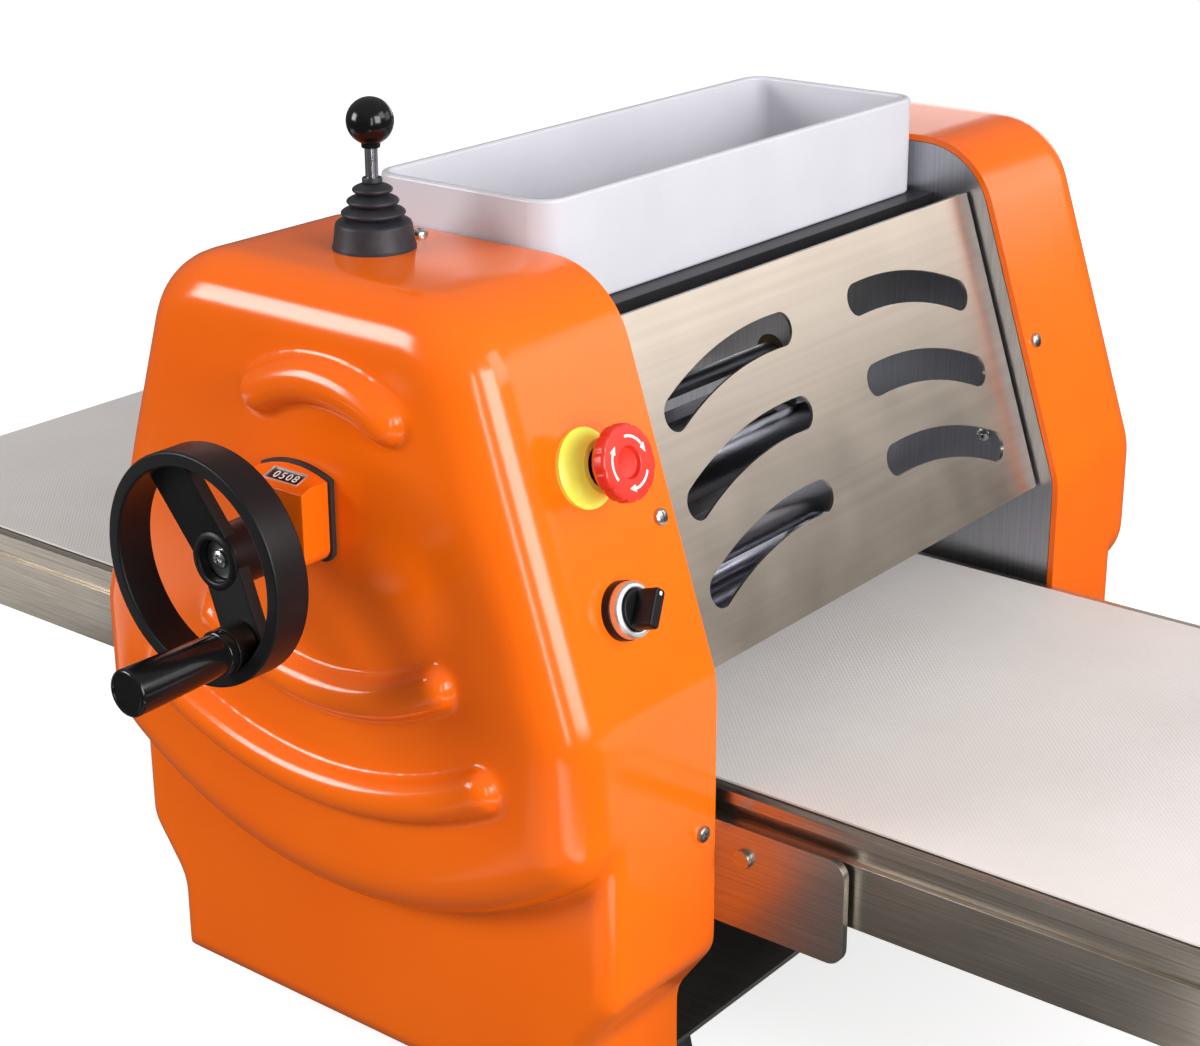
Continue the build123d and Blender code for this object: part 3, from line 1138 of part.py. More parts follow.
def rails():
    """The right conveyor's side rails: grooved bars with a notch for the rest pin."""
    top = -RAIL_GAP
    head = Circle(-DRIVE_ROLLER_Z + top)
    tail = Circle(-TAIL_ROLLER_Z + top)
    web = make_face(Polyline((DRIVE_ROLLER_X, top), (TAIL_ROLLER_X, top),
                             (TAIL_ROLLER_X, 2 * TAIL_ROLLER_Z - top),
                             (TAIL_ROLLER_X - RAIL_TAIL_TAPER, -RAIL_DEPTH),
                             (DRIVE_ROLLER_X + RAIL_HEAD_TAPER, -RAIL_DEPTH),
                             (DRIVE_ROLLER_X, 2 * DRIVE_ROLLER_Z - top), close=True))
    outline = web + Pos(DRIVE_ROLLER_X, DRIVE_ROLLER_Z) * head + Pos(TAIL_ROLLER_X, TAIL_ROLLER_Z) * tail
    notch_top = REST_PIN_Z + REST_PIN_RADIUS + FACE_CLEARANCE
    outline -= Pos(REST_PIN_X, notch_top - RAIL_DEPTH / 2) * Rectangle(4 * REST_PIN_RADIUS, RAIL_DEPTH)
    outline -= Pos(DRIVE_ROLLER_X, DRIVE_ROLLER_Z) * Circle(DRIVE_SHAFT_RADIUS + FIT_CLEARANCE)
    outline -= Pos(TAIL_ROLLER_X, TAIL_ROLLER_Z) * Circle(TAIL_SHAFT_RADIUS + FIT_CLEARANCE)
    rail = slab(outline, -RAIL_IN, -RAIL_OUT)
    groove = block(DRIVE_ROLLER_X + RAIL_GROOVE_INSET, TAIL_ROLLER_X - RAIL_GROOVE_INSET, -RAIL_OUT,
                   -RAIL_OUT + RAIL_GROOVE_DEPTH, -RAIL_GROOVE_TOP,
                   -RAIL_GROOVE_TOP - RAIL_GROOVE_HEIGHT)
    return group(*both_sides(rail - groove))


def slider_bed():
    """The sheet that carries the right belt's upper run, folded down along its edges."""
    start = DRIVE_ROLLER_X + DRIVE_ROLLER_RADIUS + BED_END_GAP
    end = TAIL_ROLLER_X - TAIL_ROLLER_RADIUS - BED_END_GAP
    top = -BELT_THICKNESS - FACE_CLEARANCE
    sheet = block(start, end, -RAIL_IN, RAIL_IN, top - BED_THICKNESS, top)
    edge = RAIL_IN - BED_FLANGE_INSET
    flange = block(start, end, -edge, -edge + BED_THICKNESS, top - BED_FLANGE, top)
    return sheet + both_sides(flange)


def wing_brackets():
    """Four bracket plates on the side plates' inner faces, beside the conveyor rails."""
    width = WING_BRACKET_END - WING_BRACKET_START
    height = WING_BRACKET_TOP - WING_BRACKET_LOW
    centre = Pos((WING_BRACKET_END + WING_BRACKET_START) / 2, (WING_BRACKET_TOP + WING_BRACKET_LOW) / 2)
    outline = centre * RectangleRounded(width, height, WING_BRACKET_CORNER)
    outline -= Pos(REST_PIN_X, REST_PIN_Z) * Circle(REST_PIN_RADIUS + REST_PIN_CLEARANCE)
    plates = both_sides(slab(outline, -HALF, -HALF + WING_BRACKET_THICKNESS))
    return group(*plates, *[mirror(p, about=Plane.YZ) for p in plates])


def rest_pins():
    """Headed pins through the brackets on which the rails' notches rest."""
    pin = rod(REST_PIN_X, REST_PIN_Z, REST_PIN_RADIUS, -HALF, -RAIL_IN - REST_PIN_TIP_GAP)
    pin += rod(REST_PIN_X, REST_PIN_Z, REST_PIN_HEAD_RADIUS, -HALF, -HALF - REST_PIN_HEAD)
    pins = both_sides(pin)
    return group(*pins, *[mirror(p, about=Plane.YZ) for p in pins])


def motor():
    """The motor with its end bell and cooling ribs."""
    core = MOTOR_RADIUS - FIN_HEIGHT
    bell = MOTOR_START + MOTOR_BELL
    flange = MOTOR_END - MOTOR_FLANGE
    body = rod(MOTOR_X, MOTOR_Z, core, MOTOR_START, MOTOR_END)
    body += rod(MOTOR_X, MOTOR_Z, MOTOR_RADIUS, bell, MOTOR_START)
    body += rod(MOTOR_X, MOTOR_Z, MOTOR_RADIUS, flange, MOTOR_END)
    fin = Pos(core, 0) * Rectangle(2 * FIN_HEIGHT, FIN_WIDTH)
    fins = [slab(Pos(MOTOR_X, MOTOR_Z) * Rot(0, 0, i * 360 / MOTOR_FINS) * fin, bell, flange)
            for i in range(MOTOR_FINS)]
    return body + fins


def gearbox():
    """The reduction gearbox with its foot on the pan."""
    end = MOTOR_END + GEARBOX_LENGTH
    floor = COVER_BOTTOM + PAN_THICKNESS
    case = RectangleRounded(2 * MOTOR_RADIUS, 2 * MOTOR_RADIUS, GEARBOX_CORNER)
    body = slab(Pos(MOTOR_X, MOTOR_Z) * case, MOTOR_END, end)
    body += block(MOTOR_X - MOTOR_RADIUS, MOTOR_X + MOTOR_RADIUS, MOTOR_END, end, floor, MOTOR_Z)
    return body - rod(MOTOR_X, MOTOR_Z, MOTOR_SHAFT_RADIUS + FIT_CLEARANCE, end - GEARBOX_BORE, end)


def motor_sprocket():
    """The gearbox's output shaft with the main chain's drive sprocket."""
    end = MOTOR_END + GEARBOX_LENGTH
    start = end - GEARBOX_BORE + FACE_CLEARANCE
    shaft = rod(MOTOR_X, MOTOR_Z, MOTOR_SHAFT_RADIUS, start, MAIN_CHAIN_Y + SPROCKET_WIDTH)
    return shaft + sprocket(MOTOR_X, MOTOR_Z, MOTOR_SPROCKET_TEETH, MAIN_CHAIN_Y, MOTOR_SHAFT_RADIUS / 2)


def jackshaft():
    """The reversing shaft: its gear meshes with the lower roller's, its sprocket drives the upper."""
    shaft = rod(JACKSHAFT_X, JACKSHAFT_Z, JACKSHAFT_RADIUS, HALF, ROLLER_GEAR_OUT + SHAFT_END)
    back = math.degrees(math.atan2(LOWER_Z - JACKSHAFT_Z, -JACKSHAFT_X))
    half_pitch = 180 / ROLLER_GEAR_TEETH
    gear = spur_gear(JACKSHAFT_X, JACKSHAFT_Z, ROLLER_GEAR_MODULE, ROLLER_GEAR_TEETH, ROLLER_GEAR_IN,
                     ROLLER_GEAR_OUT, JACKSHAFT_RADIUS / 2, back + half_pitch)
    wheel = sprocket(JACKSHAFT_X, JACKSHAFT_Z, UPPER_SPROCKET_TEETH, UPPER_CHAIN_Y, JACKSHAFT_RADIUS / 2)
    return shaft + gear + wheel


def drive_chains():
    """The main chain from the gearbox to the lower roller, and the table chain to the conveyors."""
    main = chain_loop([(MOTOR_X, MOTOR_Z, MOTOR_SPROCKET_TEETH), (0, LOWER_Z, MAIN_SPROCKET_TEETH)],
                      MAIN_CHAIN_Y)
    table = chain_loop([(DRIVE_ROLLER_X, DRIVE_ROLLER_Z, WING_SPROCKET_TEETH),
                        (0, LOWER_Z, TABLE_SPROCKET_TEETH),
                        (-DRIVE_ROLLER_X, DRIVE_ROLLER_Z, WING_SPROCKET_TEETH)], TABLE_CHAIN_Y)
    return group(main, table)


def upper_chain():
    """The chain from the jackshaft to the upper roller, which swings as the roller rises."""
    return chain_loop([(JACKSHAFT_X, JACKSHAFT_Z, UPPER_SPROCKET_TEETH),
                       (0, UPPER_Z, UPPER_SPROCKET_TEETH)], UPPER_CHAIN_Y)


def left(shape):
    """The left conveyor's copy of a right conveyor piece."""
    return mirror(shape, about=Plane.YZ)


estop_body, estop_collar, estop_stem, estop_head = estop_pieces()
selector_body, selector_bezel, selector_knob = selector_pieces()
right_guard = guard()
right_belt = belt()
right_rails = rails()
right_bed = slider_bed()
right_tail = tail_roller()

nodes = {
    "near_side_plate": side_plate(-1),
    "far_side_plate": side_plate(1),
    "shaft_bearings": group(shaft_bushes(), lower_bearings()),
    "base_pan": base_pan(),
    "rubber_feet": rubber_feet(),
    "tie_rods": tie_rods(),
    "top_panel": top_panel(),
    "near_cover": near_cover(),
    "far_cover": far_cover(),
    "cover_screws": cover_screws(),
    "cover_brackets": cover_brackets(),
    "lower_roller": lower_roller(),
    "lower_roller_wheels": lower_roller_wheels(),
    "lower_scrapers": lower_scrapers(),
    "upper_roller": upper_roller(),
    "upper_sprocket": upper_sprocket(),
    "upper_scrapers": upper_scrapers(),
    "bearing_blocks": bearing_blocks(),
    "gap_racks": gap_racks(),
    "gap_shaft": group(gap_shaft(), gap_gears()),
    "handwheel_shaft": handwheel_shaft(),
    "handwheel": handwheel(),
    "handwheel_screw": handwheel_screw(),
    "grip_spindle": grip_spindle(),
    "grip": grip(),
    "counter_gasket": counter_gasket(),
    "counter_housing": counter_housing(),
    "counter_window": counter_pocket(),
    "lever_switch": lever_switch(),
    "lever_rod": lever_rod(),
    "lever_bellows": lever_bellows(),
    "ball_knob": ball_knob(),
    "switch_bodies": group(estop_body, selector_body),
    "estop_collar": estop_collar,
    "estop_stem": estop_stem,
    "estop_head": estop_head,
    "selector_bezel": selector_bezel,
    "selector_knob": selector_knob,
    "flour_tray": flour_tray(),
    "right_guard": right_guard,
    "left_guard": left(right_guard),
    "guard_pivots": guard_pivots(),
    "right_belt": right_belt,
    "left_belt": left(right_belt),
    "right_rails": right_rails,
    "left_rails": left(right_rails),
    "right_bed": right_bed,
    "left_bed": left(right_bed),
    "right_drive_roller": drive_roller(DRIVE_ROLLER_X),
    "left_drive_roller": drive_roller(-DRIVE_ROLLER_X),
    "right_tail_roller": right_tail,
    "left_tail_roller": left(right_tail),
    "wing_brackets": wing_brackets(),
    "rest_pins": rest_pins(),
    "motor": motor(),
    "gearbox": gearbox(),
    "jackshaft": jackshaft(),
    "motor_sprocket": motor_sprocket(),
    "drive_chains": drive_chains(),
    "upper_chain": upper_chain(),
}

os.makedirs("parts", exist_ok=True)
for name, shape in nodes.items():
    export_step(ORIGIN_SHIFT * shape, f"parts/{name}.step")
print(len(nodes), "nodes")
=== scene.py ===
"""Tabletop dough sheeter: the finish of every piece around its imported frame."""
import json
import math

import bpy
from mathutils import Matrix, Vector

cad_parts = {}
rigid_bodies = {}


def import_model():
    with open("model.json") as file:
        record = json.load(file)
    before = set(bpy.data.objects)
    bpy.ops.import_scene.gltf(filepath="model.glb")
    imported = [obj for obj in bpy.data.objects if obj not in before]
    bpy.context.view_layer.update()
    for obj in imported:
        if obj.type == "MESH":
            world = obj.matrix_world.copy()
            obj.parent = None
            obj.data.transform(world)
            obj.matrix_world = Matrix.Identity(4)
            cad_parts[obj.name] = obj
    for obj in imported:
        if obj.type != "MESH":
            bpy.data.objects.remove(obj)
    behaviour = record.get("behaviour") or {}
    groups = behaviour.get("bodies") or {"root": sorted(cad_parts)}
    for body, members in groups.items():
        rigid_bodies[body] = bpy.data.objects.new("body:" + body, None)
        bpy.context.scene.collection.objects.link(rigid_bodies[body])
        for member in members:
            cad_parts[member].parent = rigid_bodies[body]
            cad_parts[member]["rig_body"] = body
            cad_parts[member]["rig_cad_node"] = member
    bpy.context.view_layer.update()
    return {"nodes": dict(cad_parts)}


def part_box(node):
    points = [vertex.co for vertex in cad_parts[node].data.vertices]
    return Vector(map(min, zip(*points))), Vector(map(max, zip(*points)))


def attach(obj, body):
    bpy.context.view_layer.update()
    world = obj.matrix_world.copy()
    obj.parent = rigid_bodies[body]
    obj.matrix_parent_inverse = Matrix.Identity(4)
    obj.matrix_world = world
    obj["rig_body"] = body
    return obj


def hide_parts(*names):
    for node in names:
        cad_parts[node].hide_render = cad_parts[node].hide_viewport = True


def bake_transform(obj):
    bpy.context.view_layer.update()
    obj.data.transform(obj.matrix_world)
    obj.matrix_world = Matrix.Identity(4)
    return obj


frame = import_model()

# The frame: the machine's middle lies between the side plates, and heights are taken from the
# belts' top face, so places below are written in millimetres from those two.
MM = 0.001
CENTRE_Y = (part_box("near_side_plate")[0].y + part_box("far_side_plate")[1].y) / 2
BELT_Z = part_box("right_belt")[1].z


def at(x, y, z):
    """A place in millimetres from the machine's middle and the belts' top, in the frame."""
    return Vector((x * MM, CENTRE_Y + y * MM, BELT_Z + z * MM))


# Side plates: 6 mm stainless plate, laser cut and brushed upright. They carry every other piece.
# The grain is drawn about a millimetre wide, coarser than the real one, so that it shows.
BRUSH_STRETCH = 0.015
BRUSH_DEPTH = 0.001
GLOSS_PATCH = 45.0
GLOSS_SPREAD = 0.03
PATCH_RAMP = (0.3, 0.7)
WELD = 0.002
FLAT_ANGLE = 0.5


def srgb(code):
    """The linear colour of an sRGB hex value."""
    channels = [int(code[i:i + 2], 16) / 255 for i in (1, 3, 5)]
    linear = [c / 12.92 if c <= 0.04045 else ((c + 0.055) / 1.055) ** 2.4 for c in channels]
    return (*linear, 1.0)


def grey(value):
    """A grey for ramps of gloss or brightness."""
    return (value, value, value, 1.0)


def add_node(owner, kind, inputs, **settings):
    """Add a shader node with its settings, and set or link its inputs."""
    node = owner.node_tree.nodes.new(kind)
    for name, value in settings.items():
        setattr(node, name, value)
    for name, value in inputs.items():
        if isinstance(value, bpy.types.NodeSocket):
            owner.node_tree.links.new(value, node.inputs[name])
        else:
            node.inputs[name].default_value = value
    return node


def new_material(name, colour, inputs):
    """A material with a base colour and constant inputs, and its surface shader."""
    material = bpy.data.materials.new(name)
    material.use_nodes = True
    shader = material.node_tree.nodes["Principled BSDF"]
    shader.inputs["Base Color"].default_value = srgb(colour)
    for socket, value in inputs.items():
        shader.inputs[socket].default_value = value
    return material, shader


def object_coords(material, stretch=(1, 1, 1)):
    """The piece's own coordinates in metres, squeezed along some axes."""
    coords = add_node(material, "ShaderNodeTexCoord", {})
    return add_node(material, "ShaderNodeMapping",
                    {"Vector": coords.outputs["Object"], "Scale": stretch}).outputs["Vector"]


def patches(material, vector, size, dark, light, detail=3.0):
    """Soft patches about size millimetres wide, from one colour to another."""
    noise = add_node(material, "ShaderNodeTexNoise",
                     {"Vector": vector, "Scale": 1000 / size, "Detail": detail})
    ramp = add_node(material, "ShaderNodeValToRGB", {"Fac": noise.outputs["Fac"]})
    for element, position, colour in zip(ramp.color_ramp.elements, PATCH_RAMP, (dark, light)):
        element.position = position
        element.color = colour
    return ramp.outputs["Color"]


def grained(material, shader, vector, size, depth):
    """Fine relief about size millimetres wide and depth millimetres deep."""
    noise = add_node(material, "ShaderNodeTexNoise",
                     {"Vector": vector, "Scale": 1000 / size, "Detail": 2.0})
    bump = add_node(material, "ShaderNodeBump",
                    {"Height": noise.outputs["Fac"], "Distance": depth * MM})
    material.node_tree.links.new(bump.outputs["Normal"], shader.inputs["Normal"])


def tinted(material, shader, socket, colour):
    """Link a pattern to one of the surface's inputs."""
    material.node_tree.links.new(colour, shader.inputs[socket])


def brushed_metal(name, dark, light, roughness, along, grain=0.8):
    """Brushed metal: fine tone lines along one axis and a faintly uneven gloss."""
    material, shader = new_material(name, light, {"Metallic": 1.0})
    stretch = [1.0, 1.0, 1.0]
    stretch["XYZ".index(along)] = BRUSH_STRETCH
    lines = object_coords(material, stretch)
    tinted(material, shader, "Base Color", patches(material, lines, grain, srgb(dark), srgb(light), 2.0))
    gloss = patches(material, object_coords(material), GLOSS_PATCH,
                    grey(roughness - GLOSS_SPREAD), grey(roughness + GLOSS_SPREAD))
    tinted(material, shader, "Roughness", gloss)
    grained(material, shader, lines, grain, BRUSH_DEPTH)
    return material


def make_active(piece):
    """Deselect everything and work on one piece."""
    bpy.ops.object.select_all(action="DESELECT")
    piece.select_set(True)
    bpy.context.view_layer.objects.active = piece


def apply_modifier(piece, kind, **settings):
    """Add a modifier with these settings and apply it."""
    make_active(piece)
    modifier = piece.modifiers.new(kind.title(), kind)
    for name, value in settings.items():
        setattr(modifier, name, value)
    bpy.ops.object.modifier_apply(modifier=modifier.name)


def soften(piece, width, segments=2, angle=35):
    """Round the sharp edges as deburring or moulding leaves them; width in millimetres."""
    apply_modifier(piece, "BEVEL", width=width * MM, segments=segments, limit_method="ANGLE",
                   angle_limit=math.radians(angle), harden_normals=False)


def smooth(piece, angle=35):
    """Shade rounded faces smooth, keep sharper edges, and let the large faces stay flat."""
    make_active(piece)
    bpy.ops.object.shade_smooth_by_angle(angle=math.radians(angle))
    apply_modifier(piece, "WEIGHTED_NORMAL", weight=100, keep_sharp=True)


def fit(piece, material, *nodes, body="frame", slot=None):
    """Give a finished piece its material and the body of the nodes it stands for. The slot is not used."""
    piece.data.materials.clear()
    piece.data.materials.append(material)
    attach(piece, frame["nodes"][nodes[0]]["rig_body"] if nodes else body)
    if nodes:
        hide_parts(*nodes)
    return piece


def finished_copy(node, material, edge, angle=35):
    """A node's piece, its triangles merged into flat faces and its edges rounded by edge."""
    make_active(frame["nodes"][node])
    bpy.ops.object.duplicate()
    piece = bpy.context.object
    piece.name = node + "_finished"
    piece.parent = None
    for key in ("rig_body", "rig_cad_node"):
        del piece[key]
    bpy.ops.object.mode_set(mode="EDIT")
    bpy.ops.mesh.select_all(action="SELECT")
    bpy.ops.mesh.customdata_custom_splitnormals_clear()
    bpy.ops.mesh.remove_doubles(threshold=WELD * MM)
    bpy.ops.mesh.dissolve_limited(angle_limit=math.radians(FLAT_ANGLE))
    bpy.ops.object.mode_set(mode="OBJECT")
    if edge:
        soften(piece, edge, angle=angle)
    smooth(piece, angle)
    return fit(piece, material, node)


plate_steel = brushed_metal("brushed_stainless_plate", "#A4A6AC", "#B6B8BD", 0.33, "Z", 1.2)
for plate in ("near_side_plate", "far_side_plate"):
    finished_copy(plate, plate_steel, 0.6)

# Base pan and scrapers: folded stainless sheet, brushed along its length. The upper scrapers' arms
# slide past the plates with a little play.
SCRAPER_PLAY = 0.999
sheet_steel = brushed_metal("brushed_stainless_sheet", "#A9A49D", "#C2BCB3", 0.31, "X")
finished_copy("base_pan", sheet_steel, 0.5)
# The scrapers' stainless is painted darker than the pan's, as painted shade inside the machine.
shaded_scraper_steel = brushed_metal("brushed_stainless_scraper_painted_shade", "#77777C", "#8D8D93", 0.34, "Y")
finished_copy("lower_scrapers", shaded_scraper_steel, 0.4)
upper_scrapers = finished_copy("upper_scrapers", shaded_scraper_steel, 0.4)
for vertex in upper_scrapers.data.vertices:
    vertex.co.y = CENTRE_Y + (vertex.co.y - CENTRE_Y) * SCRAPER_PLAY

# Feet: moulded rubber, screwed under the pan. It is matt and a little dusty, so its tone varies in
# soft patches.
def mottled(name, colour, inputs, size, dark, light, grain=None):
    """A material toned in patches of a size in millimetres, with a relief of (width, depth)."""
    material, shader = new_material(name, colour, inputs)
    place = object_coords(material)
    tinted(material, shader, "Base Color", patches(material, place, size, srgb(dark), srgb(light)))
    if grain:
        grained(material, shader, place, *grain)
    return material


foot_rubber = mottled("moulded_rubber", "#232325", {"Roughness": 0.7}, 12, "#1C1C1E", "#2E2D2D")
finished_copy("rubber_feet", foot_rubber, 1.0)

# Tie rods, shafts, gears, chains and the conveyors' rollers: ground steel, turned or cut from bar.
# Their fine lines run along the bar, and they are a little duller than the sheets.
bar_steel = brushed_metal("ground_steel", "#828285", "#9C9CA0", 0.34, "Y", 0.6)
for node in ("tie_rods", "gap_shaft", "jackshaft", "lower_roller_wheels", "upper_sprocket",
             "motor_sprocket", "drive_chains", "upper_chain", "handwheel_shaft", "grip_spindle",
             "bearing_blocks", "gap_racks", "guard_pivots", "cover_brackets",
             "right_drive_roller", "left_drive_roller", "right_tail_roller", "left_tail_roller"):
    finished_copy(node, bar_steel, 0)

# Bearings: sintered bronze bushes, pressed into the side plates for the shafts and rollers.
# They are porous and dull, and their colour is painted very dark as painted shade in the slots.
shaded_bush_bronze = brushed_metal("sintered_bronze_painted_shade", "#463A2A", "#574935", 0.55, "Y", 1.2)
finished_copy("shaft_bearings", shaded_bush_bronze, 0)

# Motor and gearbox: cast housings low in the machine, sprayed with grey enamel that has a faint
# orange peel.
grey_enamel = mottled("grey_enamel", "#4A5056", {"Roughness": 0.42}, 30, "#464C52", "#4F555B", (2.5, 0.05))
for node in ("motor", "gearbox"):
    finished_copy(node, grey_enamel, 0.8)

# Dough rollers and lever rod: steel, hard chromed and ground, with faint turning lines round them.
# The rollers turn in the plates' bearings and in sliding blocks.
hard_chrome = brushed_metal("hard_chrome", "#B4B3BC", "#C9C8D0", 0.20, "X", 0.8)
for node in ("lower_roller", "upper_roller", "lever_rod"):
    finished_copy(node, hard_chrome, 0)

# Top panel: folded sheet steel that closes the machine between the side plates, under the tray.
# It is painted satin black.
black_paint = mottled("satin_black_paint", "#1B1B1E", {"Roughness": 0.45}, 40, "#17171A", "#202024",
                      (1.2, 0.02))
finished_copy("top_panel", black_paint, 0.6)

# Covers: one moulded shell on each side in glossy orange, with wide rounded edges, a belly that
# stands proud of the foot, and raised ribs that flow into the face.
COVER_HALF_WIDTH = 182.0
FOOT_HALF_WIDTH = 157.0
COVER_BOTTOM = -180.0
COVER_TOP = 282.0
KINK_HEIGHT = 67.0
WAIST_LOW = -130.0
WAIST_HIGH = -95.0
WAIST_RADIUS = 25.0
KINK_RADIUS = 50.0
TOP_RADIUS = 54.0
SLANT = math.radians(18.4)
PLATE_FACE = 190.0
FOOT_FACE = 282.0
BELLY_FACE = 312.0
BELLY_RADIUS = 278.0
BELLY_LOW = -77.0
BELLY_CORNER = 34.0
BELLY_ARC_SHARE = 0.86
BELLY_EDGE = 30.0
FOOT_EDGE = 14.0
COVER_WALL = 4.0
COVER_VOXEL = 2.8
CUT_MARGIN = 12.0
RIB_HALF_WIDTH = 12.5
NEAR_RIB_RISE = 11.5
FAR_RIB_RISE = 8.0
CONTROL_HEIGHT = 148.0
# A rib is an arc: the x and z of its centre, its radius, its start and its sweep in degrees.
LOW_RIBS = [(10.4, 216.9, 158.3, -119.2, 60.9), (2.9, 243.1, 242.2, -119.6, 59.2)]
ARCH_RIB = (20.0, CONTROL_HEIGHT, 84.0, 58.0, 64.0)


def edit_mode(piece):
    """Enter edit mode with nothing selected."""
    make_active(piece)
    bpy.ops.object.mode_set(mode="EDIT")
    bpy.ops.mesh.select_all(action="DESELECT")


def object_mode():
    """Leave edit mode."""
    bpy.ops.object.mode_set(mode="OBJECT")


def select_faces(piece, test):
    """In edit mode, select the faces that pass the test."""
    bpy.ops.mesh.select_mode(type="FACE")
    bpy.ops.mesh.select_all(action="DESELECT")
    object_mode()
    for face in piece.data.polygons:
        face.select = test(face)
    bpy.ops.object.mode_set(mode="EDIT")


def select_edges(piece, test):
    """Enter edit mode with the edges selected whose two ends pass the test."""
    edit_mode(piece)
    bpy.ops.mesh.select_mode(type="EDGE")
    object_mode()
    for edge in piece.data.edges:
        edge.select = test(*[piece.data.vertices[index].co for index in edge.vertices])
    bpy.ops.object.mode_set(mode="EDIT")


def rounded(corners, steps=8):
    """An outline's points, with each (x, y, radius) corner drawn as an arc."""
    points = []
    for index, (x, y, radius) in enumerate(corners):
        corner = Vector((x, y))
        if not radius:
            points.append(corner)
            continue
        back = (Vector(corners[index - 1][:2]) - corner).normalized()
        ahead = (Vector(corners[(index + 1) % len(corners)][:2]) - corner).normalized()
        half = back.angle(ahead) / 2
        centre = corner + (back + ahead).normalized() * radius / math.sin(half)
        start = corner + back * radius / math.tan(half) - centre
        end = corner + ahead * radius / math.tan(half) - centre
        turn = math.pi - 2 * half
        for step in range(steps + 1):
            share = step / steps
            leaving, coming = math.sin((1 - share) * turn), math.sin(share * turn)
            points.append(centre + (start * leaving + end * coming) / math.sin(turn))
    return points


def circle_of(name, count, fill):
    """A circle to be laid out as an outline."""
    bpy.ops.object.select_all(action="DESELECT")
    bpy.ops.mesh.primitive_circle_add(vertices=count, radius=1.0, fill_type=fill)
    circle = bpy.context.object
    circle.name = name
    return circle


def tidy_normals():
    """In edit mode, merge doubles and turn all faces outwards."""
    bpy.ops.mesh.select_all(action="SELECT")
    bpy.ops.mesh.remove_doubles(threshold=WELD * MM)
    bpy.ops.mesh.normals_make_consistent(inside=False)


def prism(name, points, way):
    """A block: a flat outline through these places, drawn out by millimetres along a way."""
    block = circle_of(name, len(points), "NGON")
    for vertex, point in zip(block.data.vertices, points):
        vertex.co = point
    edit_mode(block)
    bpy.ops.mesh.select_all(action="SELECT")
    bpy.ops.mesh.extrude_region_move(TRANSFORM_OT_translate={"value": Vector(way) * MM})
    tidy_normals()
    object_mode()
    return block


def join(first, *others):
    """Join pieces into the first one."""
    make_active(first)
    for other in others:
        other.select_set(True)
    bpy.ops.object.join()
    return first


def cover_corners():
    """The cover's outline as (x, z, corner radius), from the foot's right corner round."""
    top = COVER_HALF_WIDTH - math.tan(SLANT) * (COVER_TOP - KINK_HEIGHT)
    right = [(FOOT_HALF_WIDTH, COVER_BOTTOM, 0), (FOOT_HALF_WIDTH, WAIST_LOW, WAIST_RADIUS),
             (COVER_HALF_WIDTH, WAIST_HIGH, WAIST_RADIUS),
             (COVER_HALF_WIDTH, KINK_HEIGHT, KINK_RADIUS), (top, COVER_TOP, TOP_RADIUS)]
    return right + [(-x, z, radius) for x, z, radius in reversed(right)]


def cover_block(name, corners, side, front, edge):
    """A block of the cover on one side, with the edge of its outer face rounded."""
    back = PLATE_FACE - CUT_MARGIN
    points = [at(x, side * back, z) for x, z in rounded(corners)]
    block = prism(name, points, (0, side * (front - back), 0))
    edit_mode(block)
    face_y = CENTRE_Y + side * front * MM
    select_faces(block, lambda face: abs(face.center.y - face_y) < 0.01 * MM)
    bpy.ops.mesh.region_to_loop()
    bpy.ops.mesh.bevel(offset=edge * MM, offset_type="OFFSET", segments=8, affect="EDGES",
                       clamp_overlap=False)
    object_mode()
    return block


def arc_rib(name, side, rise, centre_x, centre_z, radius, start, sweep):
    """A rib of oval section along an arc on the cover's face, closed by rounded ends."""
    def place_at(degrees):
        turn = math.radians(degrees)
        return at(centre_x + radius * math.cos(turn), side * BELLY_FACE,
                  centre_z + radius * math.sin(turn))

    rib = circle_of(name, 20, "NGON")
    angle = math.radians(start)
    across = Vector((math.cos(angle), 0, math.sin(angle)))
    out = Vector((0, 1, 0))
    for vertex in rib.data.vertices:
        section = across * vertex.co.x * RIB_HALF_WIDTH + out * vertex.co.y * rise
        vertex.co = place_at(start) + section * MM
    edit_mode(rib)
    bpy.ops.mesh.select_all(action="SELECT")
    bpy.ops.mesh.spin(steps=32, angle=math.radians(sweep), axis=(0, 1, 0),
                      center=at(centre_x, side * BELLY_FACE, centre_z))
    tidy_normals()
    object_mode()
    ends = []
    for degrees in (start, start + sweep):
        bpy.ops.object.select_all(action="DESELECT")
        bpy.ops.mesh.primitive_uv_sphere_add(segments=24, ring_count=12, radius=RIB_HALF_WIDTH * MM)
        end = bpy.context.object
        for vertex in end.data.vertices:
            vertex.co.y *= rise / RIB_HALF_WIDTH
            vertex.co += place_at(degrees)
        ends.append(end)
    return join(rib, *ends)


